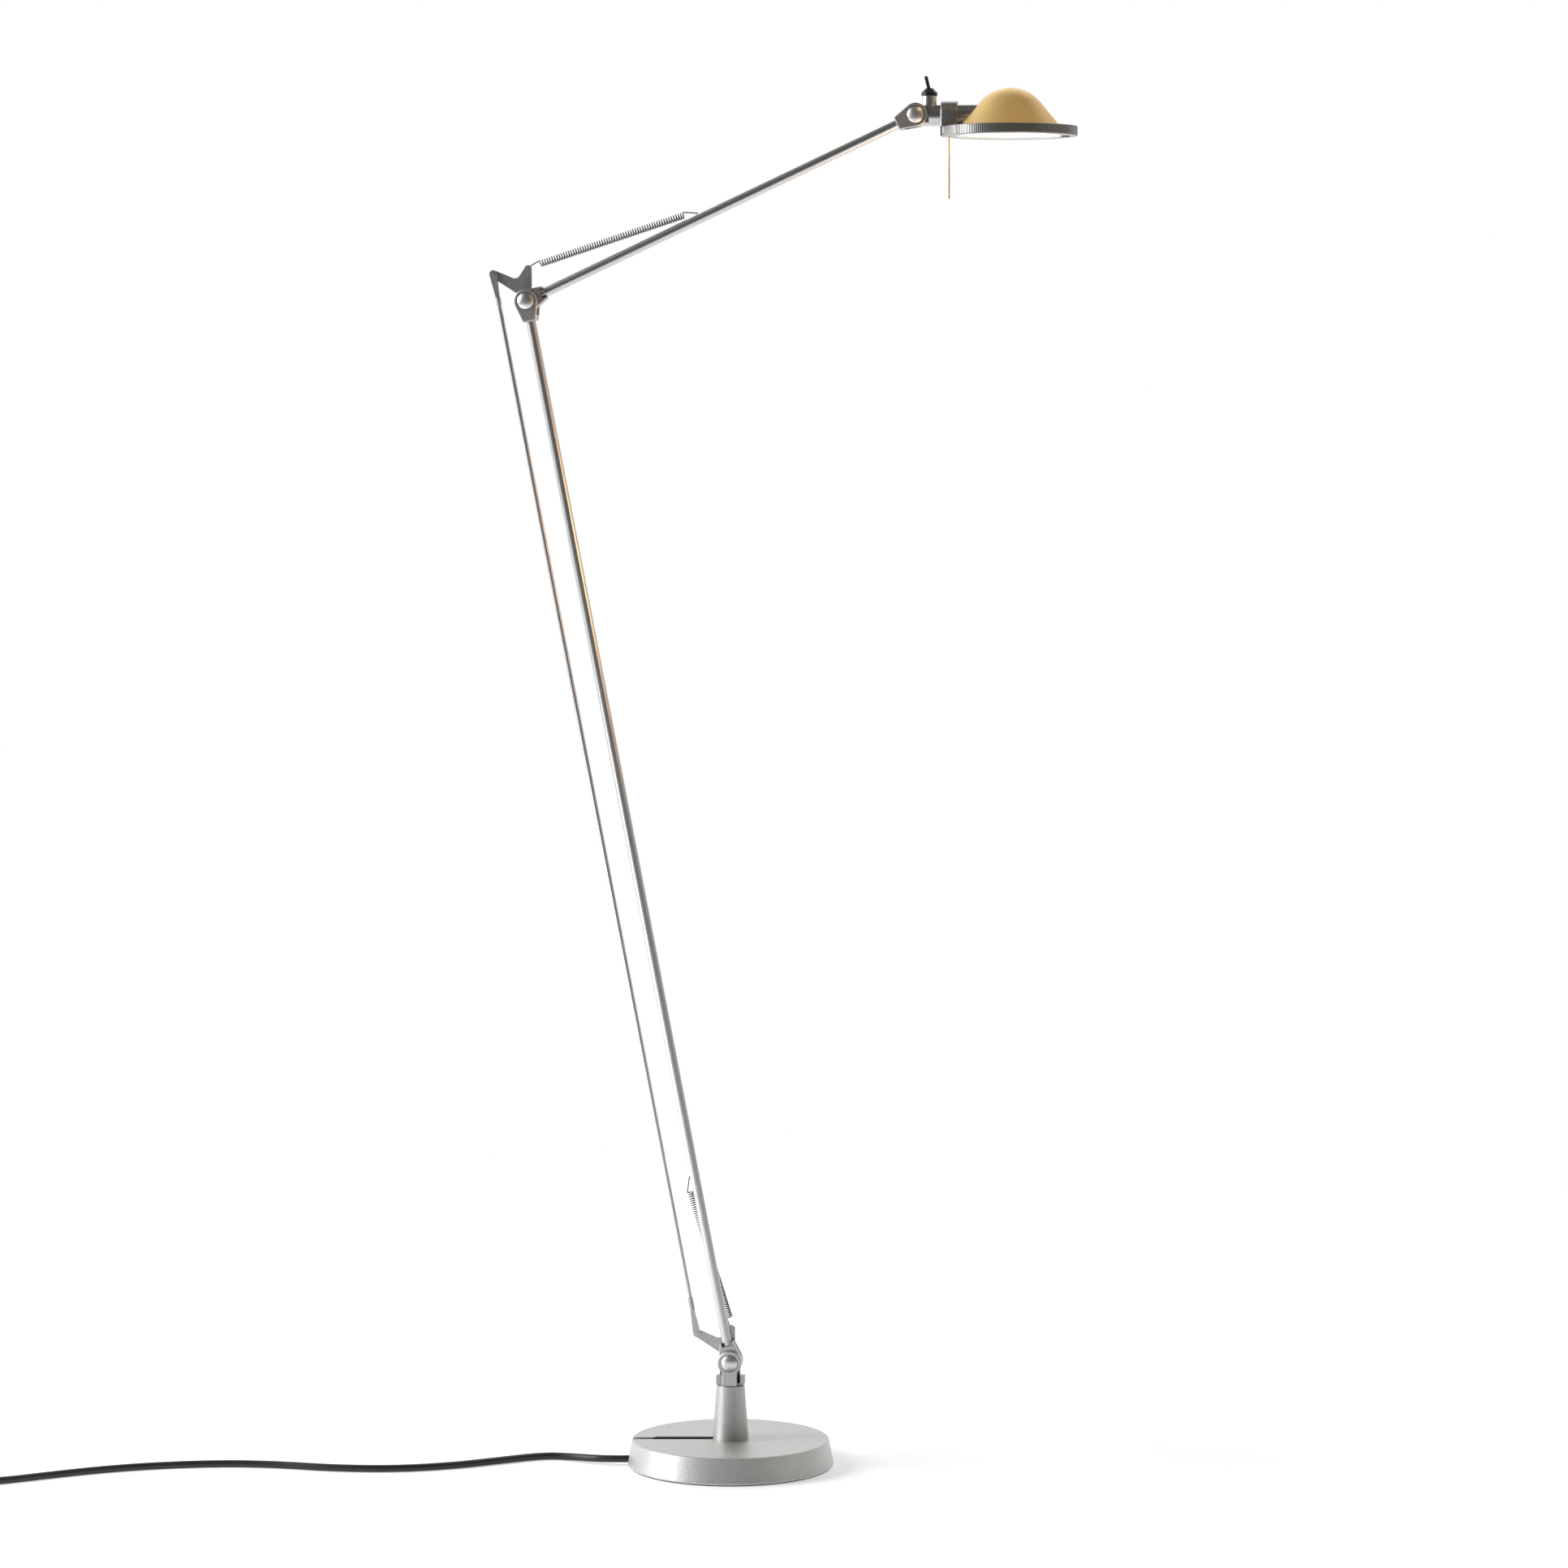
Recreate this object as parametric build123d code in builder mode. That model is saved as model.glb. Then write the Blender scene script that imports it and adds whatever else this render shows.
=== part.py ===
"""Floor lamp with two spring-balanced arms, a parallel rod and a turning reflector head.

Frame: millimetres, +Z up, origin at the centre of the base's underside. The arms stand in the XZ
plane and the upper arm reaches towards +X. The front of the lamp faces -Y.
"""

from build123d import *
from math import cos, pi, radians, sin, tan
import os

# ---------------------------------------------------------------- driving dimensions
# Pivots, as X and Z. The lower arm leans back and the upper arm reaches forward.
BASE_JOINT = (0.0, 85.4)
LOWER_ARM_LENGTH = 875.6
LOWER_ARM_ANGLE = 100.8      # degrees from +X
UPPER_ARM_LENGTH = 346.2
UPPER_ARM_ANGLE = 25.1

# Layers across a joint, from the lamp's middle plane; positive is towards the front.
FORK_OUTSIDE = 9.5
FORK_INSIDE = 6.5
KNUCKLE_FRONT = 6.2
KNUCKLE_BACK = -4.6
LEVER_FRONT = -4.8
LEVER_BACK = -6.3
BLADE_FRONT = -2.9
BLADE_BACK = -4.5

# Forks, knuckles, bolts and caps
EYE_R = 9.4
EYE_END = 16.5               # from the pivot to a knuckle's or fork's end face
EYE_END_HALF_WIDTH = 5.2
EYE_CHAMFER = 0.6
WEB_START = 12.5             # where the web joins the two plates of a fork
FORK_SOCKET_DEPTH = 3.4      # how far the arm tube goes into a fork
KNUCKLE_SOCKET_DEPTH = 6.5   # and into a knuckle
KNUCKLE_MOUTH = 3.3          # depth of the slot at a knuckle's end, with a lug on each side of the tube
KNUCKLE_MOUTH_CLEARANCE = 0.1
BOLT_R = 3.0
BOLT_STICK_OUT = 0.6
RUNNING_FIT = 0.05
CAP_R = 6.5
CAP_RECESS_R = 7.1
CAP_RECESS = 1.6
CAP_HEIGHT = 2.2
CAP_CROWN = 2.0
CAP_FLAT_R = 0.4             # flat at the middle of the crown

# Arm tubes and parallel rod
ARM_TUBE_R = 3.9
ARM_TUBE_BORE_R = 2.9
ROD_R = 1.9
ROD_BLADE_LENGTH = 20.5
ROD_BLADE_END_R = 1.5
ROD_INSERT = 2.0             # how far the rod goes into its ferrule
FERRULE_R = 2.2
LOWER_FERRULE = 10.0
UPPER_FERRULE = 5.0

# Levers: the rod pivot and the spring ear, from the arm pivot, as X and Z
ROD_PIVOT = (-28.0, 22.0)
SPRING_EAR = (0.0, 25.9)
LEVER_TIP_R = 3.1
HORN_ROOT = (-5.0, 9.9)
HORN_ROOT_R = 5.4
EAR_ROOT = (-4.0, 12.5)
EAR_ROOT_R = 7.1
NOTCH_R = 4.0                # fillet between the horn and the ear
STUD_R = 0.9                 # the stud behind the ear that the spring hooks over
STUD_HEAD_R = 1.7
STUD_LENGTH = 2.6
RIVET_SHANK_R = 0.9
RIVET_HEAD_R = 1.3
RIVET_BORE_R = 0.4

# Springs
SPRING_R = 2.95
SPRING_WIRE_R = 0.45
SPRING_ANCHOR = 155.0        # along the arm, from its lower pivot to the spring's pin
SPRING_PIN_R = 0.75
HOOK_HOLE_R = 0.9
LOWER_HOOK = (-0.32, 1.6)     # the hook's end from the ear's centre, just outside the stud
UPPER_HOOK = (1.52, 0.6)
HOOK_DEPTH = -7.6
LEAD_R = 0.9

# Base, its weight and plate, and the foot pad
BASE_TOP_R = 79.7
BASE_BOTTOM_R = 84.0
BASE_TOP_Z = 22.1
BASE_EDGE = 1.2
FOOT_PAD_Z = 0.9
FOOT_PAD_INSET = 2.0
CAVITY_R = 60.0
CAVITY_TOP_Z = 11.5
WEIGHT_BORE_R = 13.0
PLATE_R = 70.0
PLATE_THICKNESS = 2.5
PLATE_SCREW_R = 66.0
PLATE_SCREWS = 3
PLATE_SCREW_ANGLE = 30.0
SCREW_R = 1.6
SCREW_HEAD_R = 2.0
SCREW_HEAD = 1.2
SCREW_LENGTH = 9.5

# Stem cone and the swivel inside it
CONE_BOTTOM_R = 14.65
CONE_TOP_R = 11.45
CONE_TOP_Z = 66.4
CONE_BORE_R = 9.6
CONE_FLOOR_Z = 27.0
CONE_LIP = 0.4
NIPPLE_R = 5.0
NIPPLE_BORE_R = 3.4
NIPPLE_TAIL = 7.0            # below the top of the nut
NUT_R = 9.0
NUT_HEIGHT = 5.0
BUSH_BOTTOM_Z = 40.0
BUSH_TOP_Z = 61.0
SHANK_R = 6.2
SHANK_BOTTOM_Z = 29.0
SHANK_RING_WIDTH = 2.2
SHANK_RING_Z = 38.0
SHANK_RING_THICKNESS = 1.6

# Stem fork, its swivel collar and the lead beside it
STEM_EYE_R = 9.8
STEM_BAR_HALF_WIDTH = 5.9
STEM_FOOT_Z = 66.9
STEM_WEB = (-7.6, 2.4)       # left and right side of the web
STEM_WEB_TOP = 74.5
STEM_REAR_BAR = (-9.6, 7.1)  # left and right side of the rear bar
LEAD_WAY = (-2.8, 8.8)       # left and right side of the opening for the lead
LEAD_OPENING_Z = (54.0, 70.0)
STEM_LEAD_R = 2.3
STEM_LEAD_X = 4.9
COLLAR_EAR_OUT = 11.75
COLLAR_EAR_IN = 7.75
COLLAR_HALF_DEPTH = 4.6
COLLAR_EAR_BOTTOM = 67.8
COLLAR_EAR_TOP = 74.1
COLLAR_BAR = 1.5

# Supply cord and its groove in the base
CORD_R = 2.95
GROOVE_ANGLE = 185.5         # the way the groove and the cord leave the base, in the XY plane
GROOVE_HALF_WIDTH = 3.75
GROOVE_CORD_Z = 20.6         # centre of the cord, which stands a little proud of the groove
EXIT_CORD_Z = 5.2            # centre of the cord where it leaves the wall
GROOVE_BEND = 63.5           # where the cord starts down to the exit, from the centre
CORD_CLEARANCE = 0.8
CONE_NOTCH_CLEARANCE = 0.3

# Head, measured from the head joint: positive X along the head tube
HEAD_TUBE_R = 8.75
TUBE_START = 10.6
TUBE_END = 30.8
TUBE_WALL = 1.5
TONGUE_R = 8.75
TONGUE_HALF = 6.2
COLLAR_START = 20.1
COLLAR_END = 33.1
COLLAR_R = 11.2
COLLAR_LEAD_R = 2.5
CARRIER_END = 60.0
HOLDER_LENGTH = 14.0

# Toggle switch on the head tube
SWITCH_X = 10.6
SWITCH_BODY_R = 3.95
SWITCH_BODY_BOTTOM = -2.9
SWITCH_POCKET_R = 5.05
SWITCH_LEAD_R = 2.2
SWITCH_BOSS_R = 5.85
SWITCH_BOSS_FOOT = 2.0
SWITCH_BOSS_TOP = 14.9
BOOT_RIM_R = 6.45
BOOT_RIM_TOP = 18.2
BOOT_TOP = 21.2
BOOT_MOUTH_R = 2.3
TOGGLE_TILT = 14.0
TOGGLE_PIVOT = 18.9          # above the head tube's axis
TOGGLE_BALL_R = 1.9
TOGGLE_R = 1.4
TOGGLE_TOP = 30.8

# Reflector, ring and glass
RING_CENTRE = 74.8
RING_R = 53.8
RING_TOP = -9.4
RING_BOTTOM = -17.1
DOME_BASE_R = 40.2
DOME_HEIGHT = 30.6
DOME_ARC_R = 31.0
DOME_FLARE_ANGLE = 50.0
DOME_WALL = 0.9
GLASS_SIGHT_R = 42.0
GLASS_R = 43.8
GLASS_THICKNESS = 3.0
GLASS_LIP_TOP = -15.6
BULB_R = 4.6
BULB_NECK_R = 3.2
BULB_LENGTH = 30.6
HANDLE_R = 0.9
HANDLE_X = 26.2
HANDLE_LENGTH = 49.2

os.makedirs("parts", exist_ok=True)


# ---------------------------------------------------------------- helpers
def direction(angle):
    """Unit vector in the XZ plane, in degrees from +X."""
    return Vector(cos(radians(angle)), 0, sin(radians(angle)))


def along(start, angle, distance, depth=0.0):
    """Point at a distance from an XZ point; depth is towards the front."""
    return Vector(start[0], -depth, start[1]) + direction(angle) * distance


def side_plane(pivot, angle=0.0, depth=0.0):
    """Plane facing the front, x along the angle, at a depth towards the front."""
    return Plane(origin=(pivot[0], -depth, pivot[1]), x_dir=direction(angle), z_dir=(0, -1, 0))


def arm_plane(pivot, angle, distance):
    """Plane across an arm, its normal along the arm."""
    return Plane(origin=along(pivot, angle, distance), x_dir=(0, 1, 0), z_dir=direction(angle))


def save(part, name):
    """Label a finished piece and write it to its STEP file."""
    part.label = name
    export_step(part, f"parts/{name}.step")


def xz(point):
    """X and Z of a point."""
    return (point.X, point.Z)


ELBOW = xz(along(BASE_JOINT, LOWER_ARM_ANGLE, LOWER_ARM_LENGTH))
HEAD_JOINT = xz(along(ELBOW, UPPER_ARM_ANGLE, UPPER_ARM_LENGTH))
LOWER_ROD_PIVOT = (BASE_JOINT[0] + ROD_PIVOT[0], BASE_JOINT[1] + ROD_PIVOT[1])
UPPER_ROD_PIVOT = (ELBOW[0] + ROD_PIVOT[0], ELBOW[1] + ROD_PIVOT[1])


def eye_profile():
    """Eye that tapers to a straight end face, drawn along the sketch's x axis."""
    with BuildSketch(mode=Mode.PRIVATE) as outline:
        Circle(EYE_R)
        with Locations((EYE_END - 0.5, 0)):
            Rectangle(1.0, 2 * EYE_END_HALF_WIDTH)
        make_hull()
    return outline.sketch


def arm_fork(pivot, angle):
    """Fork at an arm's upper end: two plates, a web between them and a socket for the tube."""
    with BuildPart() as fork:
        with BuildSketch(side_plane(pivot, angle)):
            add(eye_profile())
        extrude(amount=FORK_OUTSIDE, both=True)
        end_and_sides = fork.faces().filter_by(Axis.Y).edges()
        chamfer(end_and_sides, EYE_CHAMFER)
        with BuildSketch(side_plane(pivot, angle)):
            with Locations((WEB_START - EYE_R - EYE_END, 0)):
                Rectangle(2 * (EYE_R + EYE_END), 4 * EYE_R)
        extrude(amount=FORK_INSIDE, both=True, mode=Mode.SUBTRACT)
        with BuildSketch(side_plane(pivot, angle)):
            Circle(BOLT_R)
        extrude(amount=FORK_OUTSIDE, both=True, mode=Mode.SUBTRACT)
        for side in (1, -1):
            with BuildSketch(side_plane(pivot, angle, side * FORK_OUTSIDE)):
                Circle(CAP_RECESS_R)
            extrude(amount=-side * CAP_RECESS, mode=Mode.SUBTRACT)
        with BuildSketch(arm_plane(pivot, angle, EYE_END)):
            Circle(ARM_TUBE_R)
        extrude(amount=-FORK_SOCKET_DEPTH, mode=Mode.SUBTRACT)
    return fork.part


def arm_knuckle(pivot, angle):
    """Knuckle at an arm's lower end, which turns between the plates of a fork."""
    with BuildPart() as knuckle:
        with BuildSketch(side_plane(pivot, angle, KNUCKLE_BACK)):
            add(eye_profile())
        extrude(amount=KNUCKLE_FRONT - KNUCKLE_BACK)
        front = knuckle.faces().filter_by(Axis.Y).sort_by(Axis.Y)[0]
        chamfer(front.edges(), EYE_CHAMFER)
        with BuildSketch(side_plane(pivot, angle)):
            Circle(BOLT_R + RUNNING_FIT)
        extrude(amount=FORK_OUTSIDE, both=True, mode=Mode.SUBTRACT)
        with BuildSketch(side_plane(pivot, angle)):
            with Locations((EYE_END, 0)):
                Rectangle(2 * KNUCKLE_MOUTH, 2 * (ARM_TUBE_R + KNUCKLE_MOUTH_CLEARANCE))
        extrude(amount=FORK_OUTSIDE, both=True, mode=Mode.SUBTRACT)
        with BuildSketch(arm_plane(pivot, angle, EYE_END)):
            Circle(ARM_TUBE_R)
        extrude(amount=-KNUCKLE_SOCKET_DEPTH, mode=Mode.SUBTRACT)
    return knuckle.part


def joint_bolt(pivot):
    """Bolt through a fork, ending in the two cap recesses."""
    reach = FORK_OUTSIDE + BOLT_STICK_OUT
    with BuildPart() as bolt:
        with BuildSketch(side_plane(pivot)):
            Circle(BOLT_R)
        extrude(amount=reach, both=True)
    return bolt.part


def joint_caps(pivot):
    """Domed caps pressed over both ends of a joint bolt."""
    seat = FORK_OUTSIDE - CAP_RECESS
    bolt_end = FORK_OUTSIDE + BOLT_STICK_OUT
    crown = FORK_OUTSIDE + CAP_HEIGHT
    rim = crown - CAP_CROWN
    with BuildPart() as caps:
        for side in (1, -1):
            with BuildSketch(Plane(origin=(pivot[0], 0, pivot[1]), x_dir=(1, 0, 0), z_dir=(0, 0, 1))):
                with BuildLine():
                    Polyline((CAP_FLAT_R, side * crown), (0, side * crown), (0, side * bolt_end),
                             (BOLT_R, side * bolt_end), (BOLT_R, side * seat), (CAP_R, side * seat),
                             (CAP_R, side * rim))
                    TangentArc((CAP_FLAT_R, side * crown), (CAP_R, side * rim), tangent=(1, 0))
                make_face()
            revolve(axis=Axis((pivot[0], 0, pivot[1]), (0, 1, 0)))
    return caps.part


def lever(pivot, bore_r, flared):
    """Flat lever: an eye, a horn to the rod pivot and an ear with a stud for the spring."""
    with BuildPart() as plate:
        with BuildSketch(side_plane(pivot, 0, LEVER_BACK)) as outline:
            with BuildSketch(mode=Mode.PRIVATE) as horn:
                with Locations(ROD_PIVOT):
                    Circle(LEVER_TIP_R)
                with Locations(HORN_ROOT):
                    Circle(HORN_ROOT_R)
                make_hull()
            with BuildSketch(mode=Mode.PRIVATE) as ear:
                with Locations(SPRING_EAR):
                    Circle(LEVER_TIP_R)
                with Locations(EAR_ROOT):
                    Circle(EAR_ROOT_R)
                make_hull()
            Circle(EYE_R)
            add(horn.sketch)
            add(ear.sketch)
            if flared:
                with BuildLine():
                    Polyline((0, 15.8), (LEVER_TIP_R, 15.8), (EYE_R - 0.5, 4.6), (0, 4.6), close=True)
                make_face()
            notch = outline.vertices().sort_by_distance(Vector(-9.2, 17.5))[0]
            fillet(notch, NOTCH_R)
        extrude(amount=LEVER_FRONT - LEVER_BACK)
        with BuildSketch(side_plane(pivot, 0, LEVER_BACK)):
            Circle(bore_r)
            with Locations(ROD_PIVOT):
                Circle(RIVET_SHANK_R)
        extrude(amount=LEVER_FRONT - LEVER_BACK, mode=Mode.SUBTRACT)
        chamfer(plate.faces().filter_by(Axis.Y).sort_by(Axis.Y)[0].outer_wire().edges(), 0.25)
        # headed stud on the ear's rear face
        with BuildSketch(side_plane(pivot, 0, LEVER_BACK)):
            with Locations(SPRING_EAR):
                Circle(STUD_R)
        extrude(amount=-STUD_LENGTH)
        with BuildSketch(side_plane(pivot, 0, LEVER_BACK - STUD_LENGTH)):
            with Locations(SPRING_EAR):
                Circle(STUD_HEAD_R)
        extrude(amount=-0.6)
    return plate.part


def rivet(pivot):
    """Hollow rivet that joins a lever to the rod's blade, with a head on each face."""
    front = -BLADE_FRONT - 0.1
    back = -LEVER_BACK
    slope = 0.5
    with BuildPart() as pin:
        with BuildSketch(Plane(origin=(pivot[0], 0, pivot[1]), x_dir=(1, 0, 0), z_dir=(0, 0, 1))):
            with BuildLine():
                Polyline((RIVET_BORE_R, front - slope), (RIVET_HEAD_R - slope / 2, front - slope),
                         (RIVET_HEAD_R, front), (RIVET_SHANK_R, front), (RIVET_SHANK_R, back),
                         (RIVET_HEAD_R, back), (RIVET_HEAD_R - slope / 2, back + slope),
                         (RIVET_BORE_R, back + slope), close=True)
            make_face()
        revolve(axis=Axis((pivot[0], 0, pivot[1]), (0, 1, 0)))
    return pin.part


def rod_end(pivot, away, ferrule_length):
    """Flattened end of the parallel rod with its ferrule; away is the angle towards the rod."""
    middle = (BLADE_FRONT + BLADE_BACK) / 2
    with BuildPart() as end:
        with BuildSketch(side_plane(pivot, away, BLADE_BACK)):
            with BuildSketch(mode=Mode.PRIVATE) as blade:
                Circle(LEVER_TIP_R)
                with Locations((ROD_BLADE_LENGTH, 0)):
                    Circle(ROD_BLADE_END_R)
                make_hull()
            add(blade.sketch)
            Circle(RIVET_SHANK_R + RUNNING_FIT, mode=Mode.SUBTRACT)
        extrude(amount=BLADE_FRONT - BLADE_BACK)
        ferrule = Plane(origin=along(pivot, away, ROD_BLADE_LENGTH - ROD_BLADE_END_R, middle),
                        x_dir=(0, 1, 0), z_dir=direction(away))
        with BuildSketch(ferrule):
            Circle(FERRULE_R)
        extrude(amount=ferrule_length + ROD_BLADE_END_R)
        with BuildSketch(ferrule.offset(ROD_BLADE_END_R + ROD_INSERT)):
            Circle(ROD_R)
        extrude(amount=ferrule_length, mode=Mode.SUBTRACT)
    return end.part


def wire(start, end, radius):
    """Straight round bar between two points."""
    way = (end - start).normalized()
    with BuildPart() as bar:
        with BuildSketch(Plane(origin=start, x_dir=(0, 1, 0), z_dir=way)):
            Circle(radius)
        extrude(amount=(end - start).length)
    return bar.part


def spring(hook_start, coil_start, coil_end, hook_end):
    """Tension spring: a plain sleeve of the coil's size with closed ends and two straight hooks."""
    way = (coil_end - coil_start).normalized()
    length = (coil_end - coil_start).length
    wall = 2 * SPRING_WIRE_R
    with BuildPart() as body:
        with BuildSketch(Plane(origin=coil_start, x_dir=(0, 1, 0), z_dir=way)):
            Circle(SPRING_R)
        extrude(amount=length)
        with BuildSketch(Plane(origin=coil_start + way * wall, x_dir=(0, 1, 0), z_dir=way)):
            Circle(SPRING_R - wall)
        extrude(amount=length - 2 * wall, mode=Mode.SUBTRACT)
        add(wire(hook_start, coil_start + way * 0.4, SPRING_WIRE_R))
        add(wire(hook_end, coil_end - way * 0.4, SPRING_WIRE_R))
    return body.part


def arm_tube(pivot, angle, start, end):
    """Arm tube with a cross hole for the spring's hook."""
    with BuildPart() as pipe:
        with BuildSketch(arm_plane(pivot, angle, start)):
            Circle(ARM_TUBE_R)
            Circle(ARM_TUBE_BORE_R, mode=Mode.SUBTRACT)
        extrude(amount=end - start)
        hole = Plane(origin=along(pivot, angle, SPRING_ANCHOR), x_dir=(0, 1, 0), z_dir=direction(angle + 90))
        with BuildSketch(hole):
            Circle(HOOK_HOLE_R)
        extrude(amount=2 * ARM_TUBE_R, both=True, mode=Mode.SUBTRACT)
    return pipe.part


def spring_pin(pivot, angle):
    """Cross pin inside an arm tube that holds the spring's hook."""
    with BuildPart() as pin:
        centre = along(pivot, angle, SPRING_ANCHOR + HOOK_HOLE_R + SPRING_PIN_R)
        with BuildSketch(Plane(origin=centre, x_dir=(1, 0, 0), z_dir=(0, -1, 0))):
            Circle(SPRING_PIN_R)
        extrude(amount=ARM_TUBE_BORE_R - 0.15, both=True)
    return pin.part


def arm_lead(pivot, angle, start, end, side):
    """Insulated lead inside an arm tube, lying to one side of the spring pin."""
    offset = direction(angle + 90) * side * (ARM_TUBE_BORE_R - LEAD_R - 0.1)
    return wire(along(pivot, angle, start) + offset, along(pivot, angle, end) + offset, LEAD_R)


# ---------------------------------------------------------------- base
GROOVE_WAY = Vector(cos(radians(GROOVE_ANGLE)), sin(radians(GROOVE_ANGLE)), 0)
GROOVE_PLANE = Plane(origin=(0, 0, 0), x_dir=GROOVE_WAY, z_dir=GROOVE_WAY.cross(Vector(0, 0, 1)))
GROOVE_DROP = GROOVE_CORD_Z - EXIT_CORD_Z
EXIT_R = BASE_BOTTOM_R - (BASE_BOTTOM_R - BASE_TOP_R) * EXIT_CORD_Z / BASE_TOP_Z
CORD_EXIT = GROOVE_WAY * EXIT_R + Vector(0, 0, EXIT_CORD_Z)


def groove_cut(inner):
    """Solid that the groove takes out of the base, from an inner radius outwards."""
    with BuildPart(mode=Mode.PRIVATE) as cut:
        with BuildSketch(GROOVE_PLANE):
            with BuildLine():
                floor = GROOVE_CORD_Z - CORD_R - CORD_CLEARANCE
                low = EXIT_CORD_Z - CORD_R - CORD_CLEARANCE
                shift = (CORD_R + CORD_CLEARANCE) * tan(radians(22.5))
                Polyline((inner, 30), (inner, floor), (GROOVE_BEND - shift, floor),
                         (GROOVE_BEND + GROOVE_DROP - shift, low), (100, low), (100, 30), close=True)
            make_face()
        extrude(amount=GROOVE_HALF_WIDTH, both=True)
    return cut.part


with BuildPart() as base_shell:
    with BuildSketch(Plane.XZ):
        with BuildLine():
            Polyline((0, FOOT_PAD_Z), (BASE_BOTTOM_R - BASE_EDGE, FOOT_PAD_Z),
                     (BASE_BOTTOM_R, FOOT_PAD_Z + BASE_EDGE), (BASE_TOP_R + 0.25, BASE_TOP_Z - 0.5),
                     (BASE_TOP_R - 0.4, BASE_TOP_Z), (0, BASE_TOP_Z), close=True)
        make_face()
    revolve(axis=Axis.Z)
    with BuildSketch(Plane.XY.offset(FOOT_PAD_Z)):
        Circle(CAVITY_R)
    extrude(amount=CAVITY_TOP_Z - FOOT_PAD_Z, mode=Mode.SUBTRACT)
    with BuildSketch(Plane.XY.offset(FOOT_PAD_Z)):
        Circle(PLATE_R)
    extrude(amount=PLATE_THICKNESS, mode=Mode.SUBTRACT)
    with BuildSketch(Plane.XY):
        Circle(NIPPLE_R)
    extrude(amount=BASE_TOP_Z, mode=Mode.SUBTRACT)
    with BuildSketch(Plane.XY.offset(FOOT_PAD_Z)):
        with PolarLocations(PLATE_SCREW_R, PLATE_SCREWS, start_angle=PLATE_SCREW_ANGLE):
            Circle(SCREW_R)
    extrude(amount=SCREW_LENGTH + 1, mode=Mode.SUBTRACT)
    add(groove_cut(CONE_BORE_R - 3), mode=Mode.SUBTRACT)
save(base_shell.part, "base_shell")

with BuildPart() as base_weight:
    with BuildSketch(Plane.XY.offset(FOOT_PAD_Z + PLATE_THICKNESS)):
        Circle(CAVITY_R - 0.1)
        Circle(WEIGHT_BORE_R, mode=Mode.SUBTRACT)
    extrude(amount=CAVITY_TOP_Z - FOOT_PAD_Z - PLATE_THICKNESS)
save(base_weight.part, "base_weight")

with BuildPart() as base_plate:
    with BuildSketch(Plane.XY.offset(FOOT_PAD_Z)):
        Circle(PLATE_R - 0.2)
        with PolarLocations(PLATE_SCREW_R, PLATE_SCREWS, start_angle=PLATE_SCREW_ANGLE):
            Circle(SCREW_HEAD_R, mode=Mode.SUBTRACT)
    extrude(amount=PLATE_THICKNESS)
save(base_plate.part, "base_plate")

with BuildPart() as plate_screws:
    with PolarLocations(PLATE_SCREW_R, PLATE_SCREWS, start_angle=PLATE_SCREW_ANGLE):
        with Locations((0, 0, FOOT_PAD_Z)):
            Cylinder(SCREW_R, SCREW_LENGTH, align=(Align.CENTER, Align.CENTER, Align.MIN))
            Cylinder(SCREW_HEAD_R, SCREW_HEAD, align=(Align.CENTER, Align.CENTER, Align.MIN))
save(plate_screws.part, "plate_screws")

with BuildPart() as foot_pad:
    with BuildSketch(Plane.XY):
        Circle(BASE_BOTTOM_R - FOOT_PAD_INSET)
    extrude(amount=FOOT_PAD_Z)
save(foot_pad.part, "foot_pad")

with BuildPart() as stem_cone:
    with BuildSketch(Plane.XZ):
        with BuildLine():
            Polyline((NIPPLE_R, BASE_TOP_Z), (CONE_BOTTOM_R, BASE_TOP_Z),
                     (CONE_TOP_R, CONE_TOP_Z - CONE_LIP), (CONE_TOP_R - CONE_LIP, CONE_TOP_Z),
                     (CONE_BORE_R, CONE_TOP_Z), (CONE_BORE_R, CONE_FLOOR_Z),
                     (NIPPLE_R, CONE_FLOOR_Z), close=True)
        make_face()
    revolve(axis=Axis.Z)
    # notch in the cone's foot for the cord in the groove
    with BuildSketch(Plane(origin=(0, 0, GROOVE_CORD_Z), x_dir=(0, 0, 1), z_dir=GROOVE_WAY)):
        Circle(CORD_R + CONE_NOTCH_CLEARANCE)
    extrude(amount=CONE_BOTTOM_R + 1, mode=Mode.SUBTRACT)
save(stem_cone.part, "stem_cone")

with BuildPart() as cone_nipple:
    with BuildSketch(Plane.XY.offset(CAVITY_TOP_Z - NIPPLE_TAIL)):
        Circle(NIPPLE_R)
        Circle(NIPPLE_BORE_R, mode=Mode.SUBTRACT)
    extrude(amount=CONE_FLOOR_Z - CAVITY_TOP_Z + NIPPLE_TAIL)
    add(groove_cut(0), mode=Mode.SUBTRACT)
save(cone_nipple.part, "cone_nipple")

with BuildPart() as cone_nut:
    with BuildSketch(Plane.XY.offset(CAVITY_TOP_Z - NUT_HEIGHT)):
        RegularPolygon(NUT_R, 6)
        Circle(NIPPLE_R, mode=Mode.SUBTRACT)
    extrude(amount=NUT_HEIGHT)
save(cone_nut.part, "cone_nut")

with BuildPart() as swivel_bush:
    with BuildSketch(Plane.XY.offset(BUSH_BOTTOM_Z)):
        Circle(CONE_BORE_R)
        Circle(SHANK_R + RUNNING_FIT, mode=Mode.SUBTRACT)
    extrude(amount=BUSH_TOP_Z - BUSH_BOTTOM_Z)
save(swivel_bush.part, "swivel_bush")

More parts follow.
